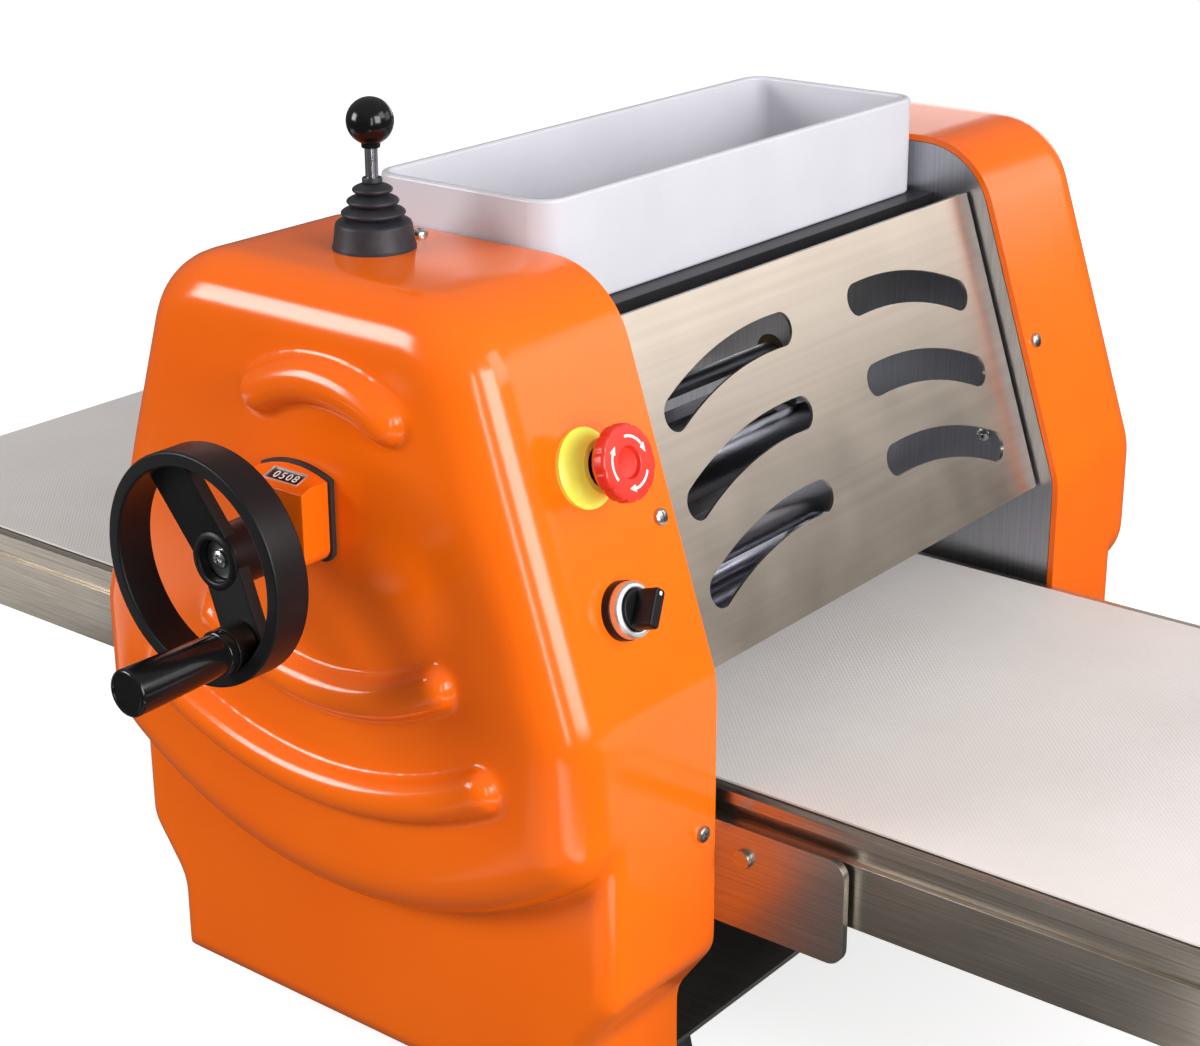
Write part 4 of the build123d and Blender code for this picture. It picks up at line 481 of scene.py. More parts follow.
def cover_shell(name, side, rise, ribs):
    """One cover: foot, belly and ribs flow together, and the shell is cut open at the plate."""
    shell = cover_block(name, cover_corners(), side, FOOT_FACE, FOOT_EDGE)
    low = BELLY_LOW + BELLY_RADIUS
    side_low = low - math.sqrt(BELLY_RADIUS ** 2 - COVER_HALF_WIDTH ** 2)
    upper = [corner for corner in cover_corners() if corner[1] >= KINK_HEIGHT]
    arc = []
    arc_steps = 24
    reach = math.asin(COVER_HALF_WIDTH / BELLY_RADIUS) * BELLY_ARC_SHARE
    for step in range(arc_steps + 1):
        turn = -reach + 2 * reach * step / arc_steps
        arc.append((BELLY_RADIUS * math.sin(turn), low - BELLY_RADIUS * math.cos(turn), 0))
    right = [(COVER_HALF_WIDTH, side_low, BELLY_CORNER)]
    left = [(-COVER_HALF_WIDTH, side_low, BELLY_CORNER)]
    belly = cover_block(name + "_belly", arc + right + upper + left, side, BELLY_FACE, BELLY_EDGE)
    join(shell, belly, *[arc_rib(name + "_rib", side, rise, *rib) for rib in ribs])
    shell.data.remesh_voxel_size = COVER_VOXEL * MM
    make_active(shell)
    bpy.ops.object.voxel_remesh()
    apply_modifier(shell, "SMOOTH", factor=0.5, iterations=6)
    edit_mode(shell)
    bpy.ops.mesh.select_all(action="SELECT")
    bpy.ops.mesh.bisect(plane_co=at(0, side * PLATE_FACE, 0), plane_no=(0, side, 0), clear_inner=True)
    object_mode()
    apply_modifier(shell, "SOLIDIFY", thickness=COVER_WALL * MM, offset=-1.0)
    make_active(shell)
    bpy.ops.object.shade_smooth_by_angle(angle=math.radians(60))
    return shell


orange_gelcoat = mottled("glossy_orange_moulding", "#F56A0C", {"Roughness": 0.17, "IOR": 1.45}, 150,
                         "#F3660A", "#F76D0E", (6.0, 0.015))
near_shell = cover_shell("near_cover_shell", -1, NEAR_RIB_RISE, LOW_RIBS + [ARCH_RIB])
fit(near_shell, orange_gelcoat, "near_cover")
fit(cover_shell("far_cover_shell", 1, FAR_RIB_RISE, LOW_RIBS), orange_gelcoat, "far_cover")

# Cover screws: zinc plated pan heads with a cross recess, five on each cover near its inner edge.
# Each was tightened to its own angle. The plating has a soft shine.
SCREW_RADIUS = 4.8
SCREW_RISE = 3.0
SCREW_Y = 202.0
SLANT_SCREW = 93.5
SIDE_SCREW_Z = -20.0
TOP_SCREW_X = -12.0
SCREW_TURN = 37.0
RECESS_ARM = 0.55
RECESS_SLOT = 0.11
RECESS_FLOOR = 0.45


def facing(origin, right, out):
    """The frame of a piece at a place, with its own X and Z along these directions."""
    right, out = Vector(right).normalized(), Vector(out).normalized()
    return Matrix.Translation(origin) @ Matrix((right, out.cross(right), out)).transposed().to_4x4()


def slant_frame(along, y, side=1):
    """A frame on the cover's slanted face, so far up the slope from the kink."""
    up = Vector((-side * math.sin(SLANT), 0, math.cos(SLANT)))
    out = Vector((side * math.cos(SLANT), 0, math.sin(SLANT)))
    return facing(at(side * COVER_HALF_WIDTH, y, KINK_HEIGHT) + up * along * MM, up.cross(out), out)


def lathe(name, profile, place, steps=64):
    """A turned piece: a profile of (radius, height), closed or from axis to axis, spun full circle."""
    piece = circle_of(name, len(profile), "NOTHING")
    for vertex, (radius, height) in zip(piece.data.vertices, profile):
        vertex.co = (radius * MM, 0, height * MM)
    select_edges(piece, lambda first, second: max(first.x, second.x) < 0.001 * MM)
    bpy.ops.mesh.delete(type="EDGE")
    bpy.ops.mesh.select_all(action="SELECT")
    bpy.ops.mesh.spin(steps=steps, angle=2 * math.pi, center=(0, 0, 0), axis=(0, 0, 1))
    tidy_normals()
    object_mode()
    piece.data.transform(place)
    return piece


def combine(piece, tool, operation):
    """Cut a tool piece out of a piece or weld it on, and clear the tool away."""
    apply_modifier(piece, "BOOLEAN", object=tool, operation=operation, solver="EXACT")
    bpy.data.objects.remove(tool)


def cross_screw(name, radius, rise, place):
    """A domed screw head with a cross recess, both drawn in shares of its radius and rise."""
    dome = [(0, 0), (1, 0), (1, 0.4), (0.93, 0.68), (0.74, 0.89), (0.42, 0.98), (0, 1)]
    head = lathe(name, [(r * radius, z * rise) for r, z in dome], Matrix.Identity(4), 32)
    half_arm, half_slot = RECESS_ARM * radius * MM, RECESS_SLOT * radius * MM
    for x, y in ((half_arm, half_slot), (half_slot, half_arm)):
        corners = [(x, y, 0), (-x, y, 0), (-x, -y, 0), (x, -y, 0)]
        floor = Vector((0, 0, RECESS_FLOOR * rise * MM))
        combine(head, prism("recess", [Vector(c) + floor for c in corners], (0, 0, rise)), "DIFFERENCE")
    smooth(head, 30)
    head.data.transform(place)
    return head


zinc_plate = brushed_metal("zinc_plate", "#A9A9A6", "#C6C6C4", 0.24, "X", 1.5)
screw_places = []
for y in (-SCREW_Y, SCREW_Y):
    for side in (1, -1):
        screw_places.append(slant_frame(SLANT_SCREW, y, side))
        screw_places.append(facing(at(side * COVER_HALF_WIDTH, y, SIDE_SCREW_Z),
                                   (0, side, 0), (side, 0, 0)))
    screw_places.append(facing(at(TOP_SCREW_X, y, COVER_TOP), (1, 0, 0), (0, 0, 1)))
screws = []
for index, place in enumerate(screw_places):
    turned = place @ Matrix.Rotation(math.radians(SCREW_TURN * index), 4, "Z")
    screws.append(cross_screw("cover_screw_heads", SCREW_RADIUS, SCREW_RISE, turned))
fit(join(*screws), zinc_plate, "cover_screws")

# Plate screw: one more of this kind in the far plate, on its inner face. It shows through the
# guard's lowest slot.
PLATE_SCREW_X = 125.6
PLATE_SCREW_Z = 89.4
PLATE_SCREW_RISE = 2.6
plate_inside = at(PLATE_SCREW_X, 0, PLATE_SCREW_Z)
plate_inside.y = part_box("far_side_plate")[0].y
plate_screw = cross_screw("plate_screw_head", SCREW_RADIUS, PLATE_SCREW_RISE,
                          facing(plate_inside, (1, 0, 0.3), (0, -1, 0)))
fit(plate_screw, zinc_plate, slot="zinc")

# Position counter: an orange moulding with an arched, sloping top on a rubber gasket. Its smoked
# window shows four number drums, and the handwheel's shaft passes through it.
COUNTER_BACK = -315.0
COUNTER_FRONT = -334.0
COUNTER_HALF = 24.0
COUNTER_LOW = 135.0
COUNTER_TOP = 184.0
COUNTER_ARCH = 62.0
COUNTER_DROP = 7.0
COUNTER_CORNER = 8.0
WINDOW_SIZE = (26.0, 11.0)
WINDOW_CORNER = 1.0
WINDOW_MIDDLE = (3.0, -324.5)
SHAFT_HOLE = 7.0
SHAFT_CUT = (-5.0, 30.0)
ARCH_STEPS = 16
DIGIT_HEIGHT = 7.2
DIGIT_SPACING = 1.28
DIGIT_DEPTH = 0.06
DIGIT_SINK = 0.55
counter_outline = rounded([(-COUNTER_HALF, COUNTER_LOW, COUNTER_CORNER),
                           (COUNTER_HALF, COUNTER_LOW, COUNTER_CORNER),
                           (COUNTER_HALF, COUNTER_TOP, 0), (-COUNTER_HALF, COUNTER_TOP, 0)])[:-2]
for step in range(ARCH_STEPS + 1):
    x = COUNTER_HALF * (1 - 2 * step / ARCH_STEPS)
    arch_rise = math.sqrt(COUNTER_ARCH ** 2 - x ** 2)
    counter_outline.append(Vector((x, COUNTER_TOP - COUNTER_ARCH + arch_rise)))
counter = prism("counter_housing_moulding", [at(x, COUNTER_BACK, z) for x, z in counter_outline],
                (0, COUNTER_FRONT - COUNTER_BACK, 0))
slope_out = Vector((0, COUNTER_DROP / (COUNTER_FRONT - COUNTER_BACK), 1)).normalized()
edit_mode(counter)
bpy.ops.mesh.select_all(action="SELECT")
bpy.ops.mesh.bisect(plane_co=at(0, COUNTER_BACK, COUNTER_TOP), plane_no=slope_out, use_fill=True,
                    clear_outer=True)
object_mode()
soften(counter, width=1.5, segments=3)
slope_share = (WINDOW_MIDDLE[1] - COUNTER_BACK) / (COUNTER_FRONT - COUNTER_BACK)
window_place = facing(at(*WINDOW_MIDDLE, COUNTER_TOP - COUNTER_DROP * slope_share), (1, 0, 0), slope_out)


def rounded_rectangle(half_width, low, high, radius, steps):
    """The outline of a rectangle with round corners, even about its own upright axis."""
    return rounded([(half_width, high, radius), (-half_width, high, radius),
                    (-half_width, low, radius), (half_width, low, radius)], steps)


def window_block(name, grow, low, high):
    """A block with rounded corners on the counter's slope, around the window."""
    x, y = WINDOW_SIZE[0] / 2 + grow, WINDOW_SIZE[1] / 2 + grow
    corners = rounded_rectangle(x, -y, y, WINDOW_CORNER, 3)
    block = prism(name, [Vector((*corner, low)) * MM for corner in corners], (0, 0, high - low))
    block.data.transform(window_place)
    return block


def drill(radius, low, high):
    """The profile of a plain round cutter."""
    return [(0, low), (radius, low), (radius, high), (0, high)]


combine(counter, window_block("window_seat", grow=-1.0, low=-2.0, high=2.0), "DIFFERENCE")
shaft_place = facing(at(0, COUNTER_BACK, CONTROL_HEIGHT), (1, 0, 0), (0, -1, 0))
combine(counter, lathe("shaft_hole", drill(SHAFT_HOLE, *SHAFT_CUT), shaft_place, 32), "DIFFERENCE")
smooth(counter, 30)
fit(counter, orange_gelcoat, "counter_housing")
finished_copy("counter_gasket", foot_rubber, 0.4)
smoked_acrylic = mottled("smoked_acrylic", "#161618", {"Roughness": 0.12}, 6, "#121214", "#1B1B1E")
window = window_block("counter_window_pane", grow=-1.02, low=-1.4, high=-0.6)
smooth(window, 30)
fit(window, smoked_acrylic, "counter_window")
window_frame = window_block("counter_window_frame", grow=-0.5, low=-0.8, high=0.35)
combine(window_frame, window_block("frame_opening", grow=-1.3, low=-3.0, high=3.0), "DIFFERENCE")
soften(window_frame, width=0.15)
smooth(window_frame, 30)
satin_alloy = brushed_metal("satin_die_cast", "#DEDCDA", "#EAE8E6", 0.45, "X", 1.0)
fit(window_frame, satin_alloy, slot="bezel")
white_ink = mottled("white_ink", "#EDEDEA", {"Roughness": 0.5}, 3, "#E6E6E3", "#F2F2F0")
bpy.ops.object.select_all(action="DESELECT")
bpy.ops.object.text_add()
digits = bpy.context.object
digits.name = "counter_digits"
digits.data.body = "0508"
digits.data.align_x = "CENTER"
digits.data.align_y = "CENTER"
digits.data.size = DIGIT_HEIGHT * MM
digits.data.space_character = DIGIT_SPACING
digits.data.extrude = DIGIT_DEPTH * MM
bpy.ops.object.convert(target="MESH")
digits = bpy.context.object
digits.data.transform(window_place @ Matrix.Translation((0, 0, -DIGIT_SINK * MM)))
fit(digits, white_ink, slot="window")

# Handwheel: moulded in black phenolic, with a deep rim, a dished web and a hub with a round lip.
# A washer and a domed screw in the hub's recess hold it on the shaft. The moulding is nearly black,
# with a dull sheen.
WHEEL_BACK = -368.0
WHEEL_RADIUS = 62.0
WHEEL_RIM = 8.0
WHEEL_WIDTH = 22.0
RIM_ROUND = 1.3
WEB_ANGLE = math.radians(-60.0)
WEB_HALF_WIDTH = 14.0
WEB_HALF_THICKNESS = 4.0
WEB_DISH = 8.0
WEB_REACH = 58.0
HUB_RADIUS = 16.5
HUB_RECESS = 11.0
HUB_BORE = 6.0
HUB_BACK = -22.0
HUB_FRONT = 7.0
HUB_FLOOR = -1.0
CORE_RADIUS = 14.0
CORE_REACH = 30.0
WASHER_RADIUS = 10.7
WASHER_TOP = 1.0
HUB_SCREW_RADIUS = 5.0
GRIP_OFFSET = 43.5
GRIP_BORE = 4.1
BOSS_RADIUS = 12.0
BOSS_FRONT = 22.5
wheel_place = facing(at(0, WHEEL_BACK, CONTROL_HEIGHT), (1, 0, 0), (0, -1, 0))
web_along = Vector((math.cos(WEB_ANGLE), math.sin(WEB_ANGLE), 0))
web_across = Vector((-math.sin(WEB_ANGLE), math.cos(WEB_ANGLE), 0))
grip_shift = Matrix.Translation(web_along * GRIP_OFFSET * MM)
inner = WHEEL_RADIUS - WHEEL_RIM
rim_line = rounded([(inner, 0, RIM_ROUND), (WHEEL_RADIUS, 0, RIM_ROUND),
                    (WHEEL_RADIUS, WHEEL_WIDTH, RIM_ROUND), (inner, WHEEL_WIDTH, RIM_ROUND)], 4)
wheel = lathe("handwheel_moulding", rim_line, Matrix.Identity(4), 112)
front, back = WEB_HALF_THICKNESS, -WEB_HALF_THICKNESS
web_line = [(WEB_REACH, WEB_DISH + front), (0, front), (-WEB_REACH, WEB_DISH + front),
            (-WEB_REACH, WEB_DISH + back), (0, back), (WEB_REACH, WEB_DISH + back)]
web = prism("handwheel_web", [(web_along * a + Vector((0, 0, h)) - web_across * WEB_HALF_WIDTH) * MM
                              for a, h in web_line], web_across * 2 * WEB_HALF_WIDTH)
soften(web, width=0.9, segments=3)
core = lathe("hub_core", drill(CORE_RADIUS, -CORE_REACH, CORE_REACH), Matrix.Identity(4), 48)
combine(web, core, "DIFFERENCE")
hub_line = rounded([(HUB_BORE, HUB_BACK, 0), (HUB_RADIUS, HUB_BACK, 1.0), (HUB_RADIUS, HUB_FRONT, 3.2),
                    (HUB_RECESS, HUB_FRONT, 1.6), (HUB_RECESS, HUB_FLOOR, 0), (HUB_BORE, HUB_FLOOR, 0)], 4)
hub = lathe("handwheel_hub", hub_line, Matrix.Identity(4), 64)
boss_line = rounded([(GRIP_BORE, WEB_DISH, 0), (BOSS_RADIUS, WEB_DISH, 0),
                     (BOSS_RADIUS, BOSS_FRONT, 0.8), (GRIP_BORE, BOSS_FRONT, 0)], 3)
boss = lathe("handwheel_boss", boss_line, grip_shift, 48)
for part in (web, hub, boss):
    combine(wheel, part, "UNION")
smooth(wheel, 35)
wheel.data.transform(wheel_place)
black_phenolic = mottled("black_phenolic", "#101012", {"Roughness": 0.4, "IOR": 1.33}, 25,
                         "#0E0E10", "#141416", (1.4, 0.012))
fit(wheel, black_phenolic, "handwheel")
washer_line = rounded([(0, HUB_FLOOR, 0), (WASHER_RADIUS, HUB_FLOOR, 0),
                       (WASHER_RADIUS, WASHER_TOP, 0.5), (0, WASHER_TOP, 0)], 3)
washer = lathe("handwheel_washer", washer_line, wheel_place, 48)
smooth(washer, 35)
fit(washer, bar_steel, "handwheel_screw")
hub_screw = cross_screw("handwheel_screw_head", HUB_SCREW_RADIUS, SCREW_RISE,
                        wheel_place @ Matrix.Translation((0, 0, WASHER_TOP * MM)))
fit(hub_screw, zinc_plate, body="handwheel", slot="zinc")

# Revolving grip: polished black phenolic on a steel spindle, with a collar at its base, a swelling
# body, and a plug set into its flat end.
GRIP_PLAY = 0.1
GRIP_LOW = 22.8
GRIP_DEPTH = 79.0
COLLAR_RADIUS = 12.0
END_CENTRE = (10.6, 84.2)
END_ROUND = 1.8
end_turns = [math.radians(degrees) for degrees in range(0, 91, 15)]
grip_bore = GRIP_BORE + GRIP_PLAY
grip_line = [(0, GRIP_DEPTH), (grip_bore, GRIP_DEPTH), (grip_bore, GRIP_LOW), (11.5, GRIP_LOW)]
grip_line += [(COLLAR_RADIUS, 23.3), (COLLAR_RADIUS, 27.2), (11.5, 27.8), (10.9, 28.1)]
grip_line += [(10.8, 28.8), (11.4, 45), (11.9, 61), (12.3, 76)]
grip_line += [(END_CENTRE[0] + END_ROUND * math.cos(turn), END_CENTRE[1] + END_ROUND * math.sin(turn))
              for turn in end_turns]
grip_line += [(10.1, 85.9), (9.8, 85.3), (0, 85.1)]
grip = lathe("grip_moulding", grip_line, wheel_place @ grip_shift, 64)
smooth(grip, 40)
polished_black = mottled("polished_black_phenolic", "#0E0E0F", {"Roughness": 0.16, "IOR": 1.4}, 30,
                         "#0C0C0D", "#131314", (8.0, 0.01))
fit(grip, polished_black, "grip")

# Direction lever: a polished ball on a chromed rod. A rubber bellows closes the opening in the
# cover, clamped at its skirt, with a collar round the rod.
LEVER_X = -12.0
LEVER_Y = -237.0
BALL_HEIGHT = 68.0
BALL_RADIUS = 12.7
BELLOWS_HEIGHT = 38.0
FOLDS = 3
FOLD_STEPS = 12
FOLD_LOW = 16.5
FOLD_PITCH = 6.2
FOLD_RADIUS = 17.2
FOLD_TAPER = 3.2
FOLD_VALLEY = 3.6
FOLD_SWELL = 5.2
FOLD_ROUNDING = 0.8
lever_place = facing(at(LEVER_X, LEVER_Y, COVER_TOP), (1, 0, 0), (0, 0, 1))
ball_line = [(0, 0.2), (3.5, 0.2), (3.5, -14.2), (4.6, -14.2), (5, -13.8)]
ball_line += [(BALL_RADIUS * math.cos(math.radians(a)), BALL_RADIUS * math.sin(math.radians(a)))
              for a in range(-66, 90, 6)] + [(0, BALL_RADIUS)]
ball = lathe("ball_knob_turned", ball_line,
             lever_place @ Matrix.Translation((0, 0, BALL_HEIGHT * MM)), 64)
smooth(ball, 40)
fit(ball, polished_black, "ball_knob")
bellows_line = [(14, 0), (22.6, 0), (22.6, 1.4), (22.1, 1.8), (20.7, 12.6), (20.2, 13.9), (19.2, 14.7),
                (15.0, 15.9), (13.9, 16.3)]
for fold in range(FOLDS):
    crest = FOLD_RADIUS - FOLD_TAPER * fold
    base = FOLD_LOW + FOLD_PITCH * fold
    for step in range(FOLD_STEPS + 1):
        share = step / FOLD_STEPS
        lean = crest - FOLD_VALLEY - FOLD_TAPER * share
        swell = FOLD_SWELL * math.sin(math.pi * share) ** FOLD_ROUNDING
        bellows_line.append((lean + swell, base + FOLD_PITCH * share))
bellows_line += [(5.4, 35.6), (5.4, 37.5), (5.0, BELLOWS_HEIGHT), (3.8, BELLOWS_HEIGHT), (3.8, 33),
                 (14, 2)]
bellows = lathe("lever_bellows_moulding", bellows_line, lever_place, 64)
smooth(bellows, 50)
bellows_rubber = mottled("bellows_rubber", "#27262A", {"Roughness": 0.5, "IOR": 1.4}, 9,
                         "#222126", "#2E2D32", (1.5, 0.02))
bellows.data.materials.append(bellows_rubber)
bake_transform(bellows)
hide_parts("lever_bellows")

# Emergency stop: a red mushroom head with a fluted edge and printed turn arrows, over a flared
# yellow collar on the cover's slanted face. Both mouldings have a satin gloss.
SWITCH_Y = -249.0
ESTOP_ALONG = 133.0
COLLAR_BORE = 11.1
COLLAR_FOOT = 21.0
COLLAR_TOP = 13.0
FLARE_FOOT = Vector((COLLAR_FOOT, 2.2))
FLARE_BEND = Vector((15.2, 5.5))
FLARE_NECK = Vector((14.2, COLLAR_TOP))
FLARE_STEPS = 12
FLUTES = 12
FLUTE_START = 18.0
FLUTE_DEPTH = 0.7
FLUTE_NARROWING = 4
HEAD_TOP = 31.0
INK_THICKNESS = 0.1
estop_place = slant_frame(ESTOP_ALONG, SWITCH_Y)
flare = []
for step in range(FLARE_STEPS + 1):
    share = step / FLARE_STEPS
    ends = (1 - share) ** 2 * FLARE_FOOT + share ** 2 * FLARE_NECK
    flare.append(ends + 2 * share * (1 - share) * FLARE_BEND)
collar_line = [(COLLAR_BORE, 0), (COLLAR_FOOT, 0), (COLLAR_FOOT, 1.8)] + [tuple(p) for p in flare]
collar_line += [(13.8, COLLAR_TOP), (COLLAR_BORE, COLLAR_TOP)]
collar = lathe("estop_collar_moulding", collar_line, estop_place, 72)
smooth(collar, 40)
yellow_plastic = mottled("yellow_moulding", "#F4F358", {"Roughness": 0.32}, 14, "#F1F054", "#F7F65E",
                         (2.0, 0.01))
fit(collar, yellow_plastic, "estop_collar")
head_line = [(0, 25.4), (6.6, 25.4), (6.6, 19), (14.8, 19), (15.6, 19.4), (19.3, 23.6), (19.9, 24.4),
             (20, 25.2), (20, 28.6), (19.9, 29.5), (19.5, 30.3), (18.9, 30.8), (18.1, HEAD_TOP),
             (8.8, HEAD_TOP), (8.4, 30.8), (8.1, 30.2), (7.7, 28.7), (7.2, 28.3), (0, 28.2)]
head = lathe("estop_head_moulding", head_line, Matrix.Identity(4), 144)
for vertex in head.data.vertices:
    radius = math.hypot(vertex.co.x, vertex.co.y)
    if radius > FLUTE_START * MM:
        wave = math.cos(FLUTES * math.atan2(vertex.co.y, vertex.co.x))
        flute = max(0.0, wave) ** FLUTE_NARROWING
        share = 1 - FLUTE_DEPTH * MM / radius * flute
        vertex.co.x *= share
        vertex.co.y *= share
smooth(head, 40)
head.data.transform(estop_place)
red_plastic = mottled("red_moulding", "#D92A18", {"Roughness": 0.3}, 12, "#D42615", "#DE301D", (2.0, 0.01))
fit(head, red_plastic, "estop_head")
ARROW_RADIUS = 13.3
ARROW_HALF = 0.7
ARROW_BARB = 2.0
ARROW_SWEEP = 60
ARROW_TIP = 80
ARROW_STEP = 10
ARROW_TAILS = (88, 208, 328)
arrows = []
for tail in ARROW_TAILS:
    line = [(ARROW_RADIUS + ARROW_HALF, tail - step) for step in range(0, ARROW_SWEEP + 1, ARROW_STEP)]
    line += [(ARROW_RADIUS + ARROW_BARB, tail - ARROW_SWEEP), (ARROW_RADIUS, tail - ARROW_TIP),
             (ARROW_RADIUS - ARROW_BARB, tail - ARROW_SWEEP)]
    line += [(ARROW_RADIUS - ARROW_HALF, tail - step) for step in range(ARROW_SWEEP, -1, -ARROW_STEP)]
    turns = [(radius, math.radians(degrees)) for radius, degrees in line]
    points = [Vector((radius * math.cos(turn), radius * math.sin(turn), HEAD_TOP)) * MM
              for radius, turn in turns]
    arrow = prism("estop_arrows", points, (0, 0, INK_THICKNESS))
    arrow.data.transform(estop_place)
    arrows.append(arrow)
fit(join(*arrows), white_ink, body="estop_head", slot="red")
for node in ("estop_stem", "switch_bodies", "lever_switch"):
    finished_copy(node, black_phenolic, 0.3)

# Selector: a black moulded base, a satin die-cast bezel and a black knob with a finger bar, whose
# raised end carries a white mark.
SELECTOR_ALONG = 57.5
BASE_RADIUS = 15.5
BASE_BORE = 11.1
BASE_HEIGHT = 4.8
BEZEL_RADIUS = 14.9
BEZEL_BORE = 11.05
BEZEL_HEIGHT = 10.6
KNOB_ANGLE = math.radians(-38.0)
KNOB_RADIUS = 10.7
KNOB_LOW = 5.4
KNOB_FACE = 11.6
STEM_RADIUS = 5.0
STEM_END = -20.0
BAR_HALF_WIDTH = 3.75
BAR_HALF_LENGTH = 10.6
BAR_BASE = 10.0
BAR_TOP = 24.5
BAR_ROUND = 2.2
BAR_EDGE = 1.3
MARK_HALF_WIDTH = 1.0
MARK_LOW = 6.8
MARK_HIGH = 9.0
MARK_ROUND = 0.9
selector_place = slant_frame(SELECTOR_ALONG, SWITCH_Y)
base_line = rounded([(BASE_BORE, 0, 0), (BASE_RADIUS, 0, 0), (BASE_RADIUS, BASE_HEIGHT, 0.5),
                     (BASE_BORE, BASE_HEIGHT, 0)], 3)
base_ring = lathe("selector_base_ring", base_line, selector_place, 64)
smooth(base_ring, 40)
fit(base_ring, black_phenolic, slot="black_plastic")
bezel_line = rounded([(BEZEL_BORE, BASE_HEIGHT, 0), (BEZEL_RADIUS, BASE_HEIGHT, 0.3),
                      (BEZEL_RADIUS, BEZEL_HEIGHT, 2.6), (BEZEL_BORE, BEZEL_HEIGHT, 1.0)], 5)
bezel = lathe("selector_bezel_ring", bezel_line, selector_place, 64)
smooth(bezel, 40)
fit(bezel, satin_alloy, "selector_bezel")
knob_place = selector_place @ Matrix.Rotation(KNOB_ANGLE, 4, "Z")
knob_line = rounded([(0, STEM_END, 0), (STEM_RADIUS, STEM_END, 0), (STEM_RADIUS, KNOB_LOW, 0),
                     (KNOB_RADIUS, KNOB_LOW, 0), (KNOB_RADIUS, KNOB_FACE, 1.0), (0, KNOB_FACE, 0)], 3)
knob = lathe("selector_knob_moulding", knob_line, Matrix.Identity(4), 64)
bar_outline = rounded_rectangle(BAR_HALF_WIDTH, -BAR_HALF_LENGTH, BAR_HALF_LENGTH, BAR_ROUND, 4)
bar = prism("selector_bar", [Vector((x, y, BAR_BASE)) * MM for x, y in bar_outline],
            (0, 0, BAR_TOP - BAR_BASE))
edit_mode(bar)
select_faces(bar, lambda face: face.center.z > (BAR_TOP - 0.1) * MM)
bpy.ops.mesh.region_to_loop()
bpy.ops.mesh.bevel(offset=BAR_EDGE * MM, segments=4, affect="EDGES")
object_mode()
combine(knob, bar, "UNION")
smooth(knob, 40)
knob.data.transform(knob_place)
fit(knob, black_phenolic, "selector_knob")
mark_outline = rounded_rectangle(MARK_HALF_WIDTH, MARK_LOW, MARK_HIGH, MARK_ROUND, 3)
mark = prism("selector_mark", [Vector((x, y, BAR_TOP)) * MM for x, y in mark_outline],
             (0, 0, INK_THICKNESS))
mark.data.transform(knob_place)
fit(mark, white_ink, body="selector", slot="black_plastic")

# Guards: stainless sheet with laser cut slots and folded edges, hung on pins in the side plates.
# The sheet is brushed along the rollers and has a warm tone.
guard_steel = brushed_metal("brushed_stainless_guard", "#C6B8AA", "#CFC2B4", 0.31, "Y", 5.0)
for node in ("right_guard", "left_guard"):
    finished_copy(node, guard_steel, 0.5)

# Conveyors: coated belting over a steel bed, between grooved stainless rails on brackets and pins.
# The belting's weave is drawn 2.2 mm wide, about twice the real one, so that it shows. A wave pattern
# of scale one repeats every 314 mm.
WEAVE_PITCH = 2.2
WEAVE_DEPTH = 0.1
WAVE_AT_SCALE_ONE = 314.0
belt_cloth, belt_shader = new_material("coated_belting", "#DFD9D5", {"Roughness": 0.62})
tinted(belt_cloth, belt_shader, "Base Color",
       patches(belt_cloth, object_coords(belt_cloth), 90, srgb("#DCD6D2"), srgb("#E2DDDA")))
weave = []
for turn in (math.radians(45), math.radians(-45)):
    coords = add_node(belt_cloth, "ShaderNodeTexCoord", {})
    slanted = add_node(belt_cloth, "ShaderNodeMapping",
                       {"Vector": coords.outputs["Object"], "Rotation": (0, 0, turn)})
    wave = add_node(belt_cloth, "ShaderNodeTexWave",
                    {"Vector": slanted.outputs["Vector"], "Scale": WAVE_AT_SCALE_ONE / WEAVE_PITCH})
    weave.append(wave.outputs["Fac"])
crossing = add_node(belt_cloth, "ShaderNodeMath", {0: weave[0], 1: weave[1]}, operation="MULTIPLY")
threads = add_node(belt_cloth, "ShaderNodeBump",
                   {"Height": crossing.outputs["Value"], "Distance": WEAVE_DEPTH * MM})
tinted(belt_cloth, belt_shader, "Normal", threads.outputs["Normal"])
rail_steel = brushed_metal("brushed_stainless_rail", "#A59C90", "#C0B7AB", 0.31, "X")
for side in ("right", "left"):
    finished_copy(side + "_belt", belt_cloth, 0.5)
    finished_copy(side + "_rails", rail_steel, 0.8)
    finished_copy(side + "_bed", sheet_steel, 0)
finished_copy("wing_brackets", sheet_steel, 0.5)
finished_copy("rest_pins", zinc_plate, 0.5)

# Flour tray: moulded white polyethylene with soft corners and an even wall. It stands loose on the
# top panel. The plastic is a little milky and has a satin face.
tray_low, tray_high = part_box("flour_tray")
TRAY_WALL = 5.0
TRAY_CORNER = 16.0
white_pe = mottled(
    "white_polyethylene", "#C8C7CE",
    {"Roughness": 0.36, "IOR": 1.5, "Subsurface Weight": 0.06, "Subsurface Scale": 0.004},
    70, "#C5C4CB", "#CBCAD1", (2.0, 0.015))
bpy.ops.object.select_all(action="DESELECT")
bpy.ops.mesh.primitive_cube_add(size=1.0)
tray = bpy.context.object
tray.name = "flour_tray_moulding"
for vertex in tray.data.vertices:
    for axis in range(3):
        vertex.co[axis] = tray_low[axis] if vertex.co[axis] < 0 else tray_high[axis]
select_edges(tray, lambda first, second: abs(first.z - second.z) > MM)
bpy.ops.mesh.bevel(offset=TRAY_CORNER * MM, segments=8, affect="EDGES")
select_faces(tray, lambda face: face.normal.z > 0.9)
bpy.ops.mesh.inset(thickness=TRAY_WALL * MM)
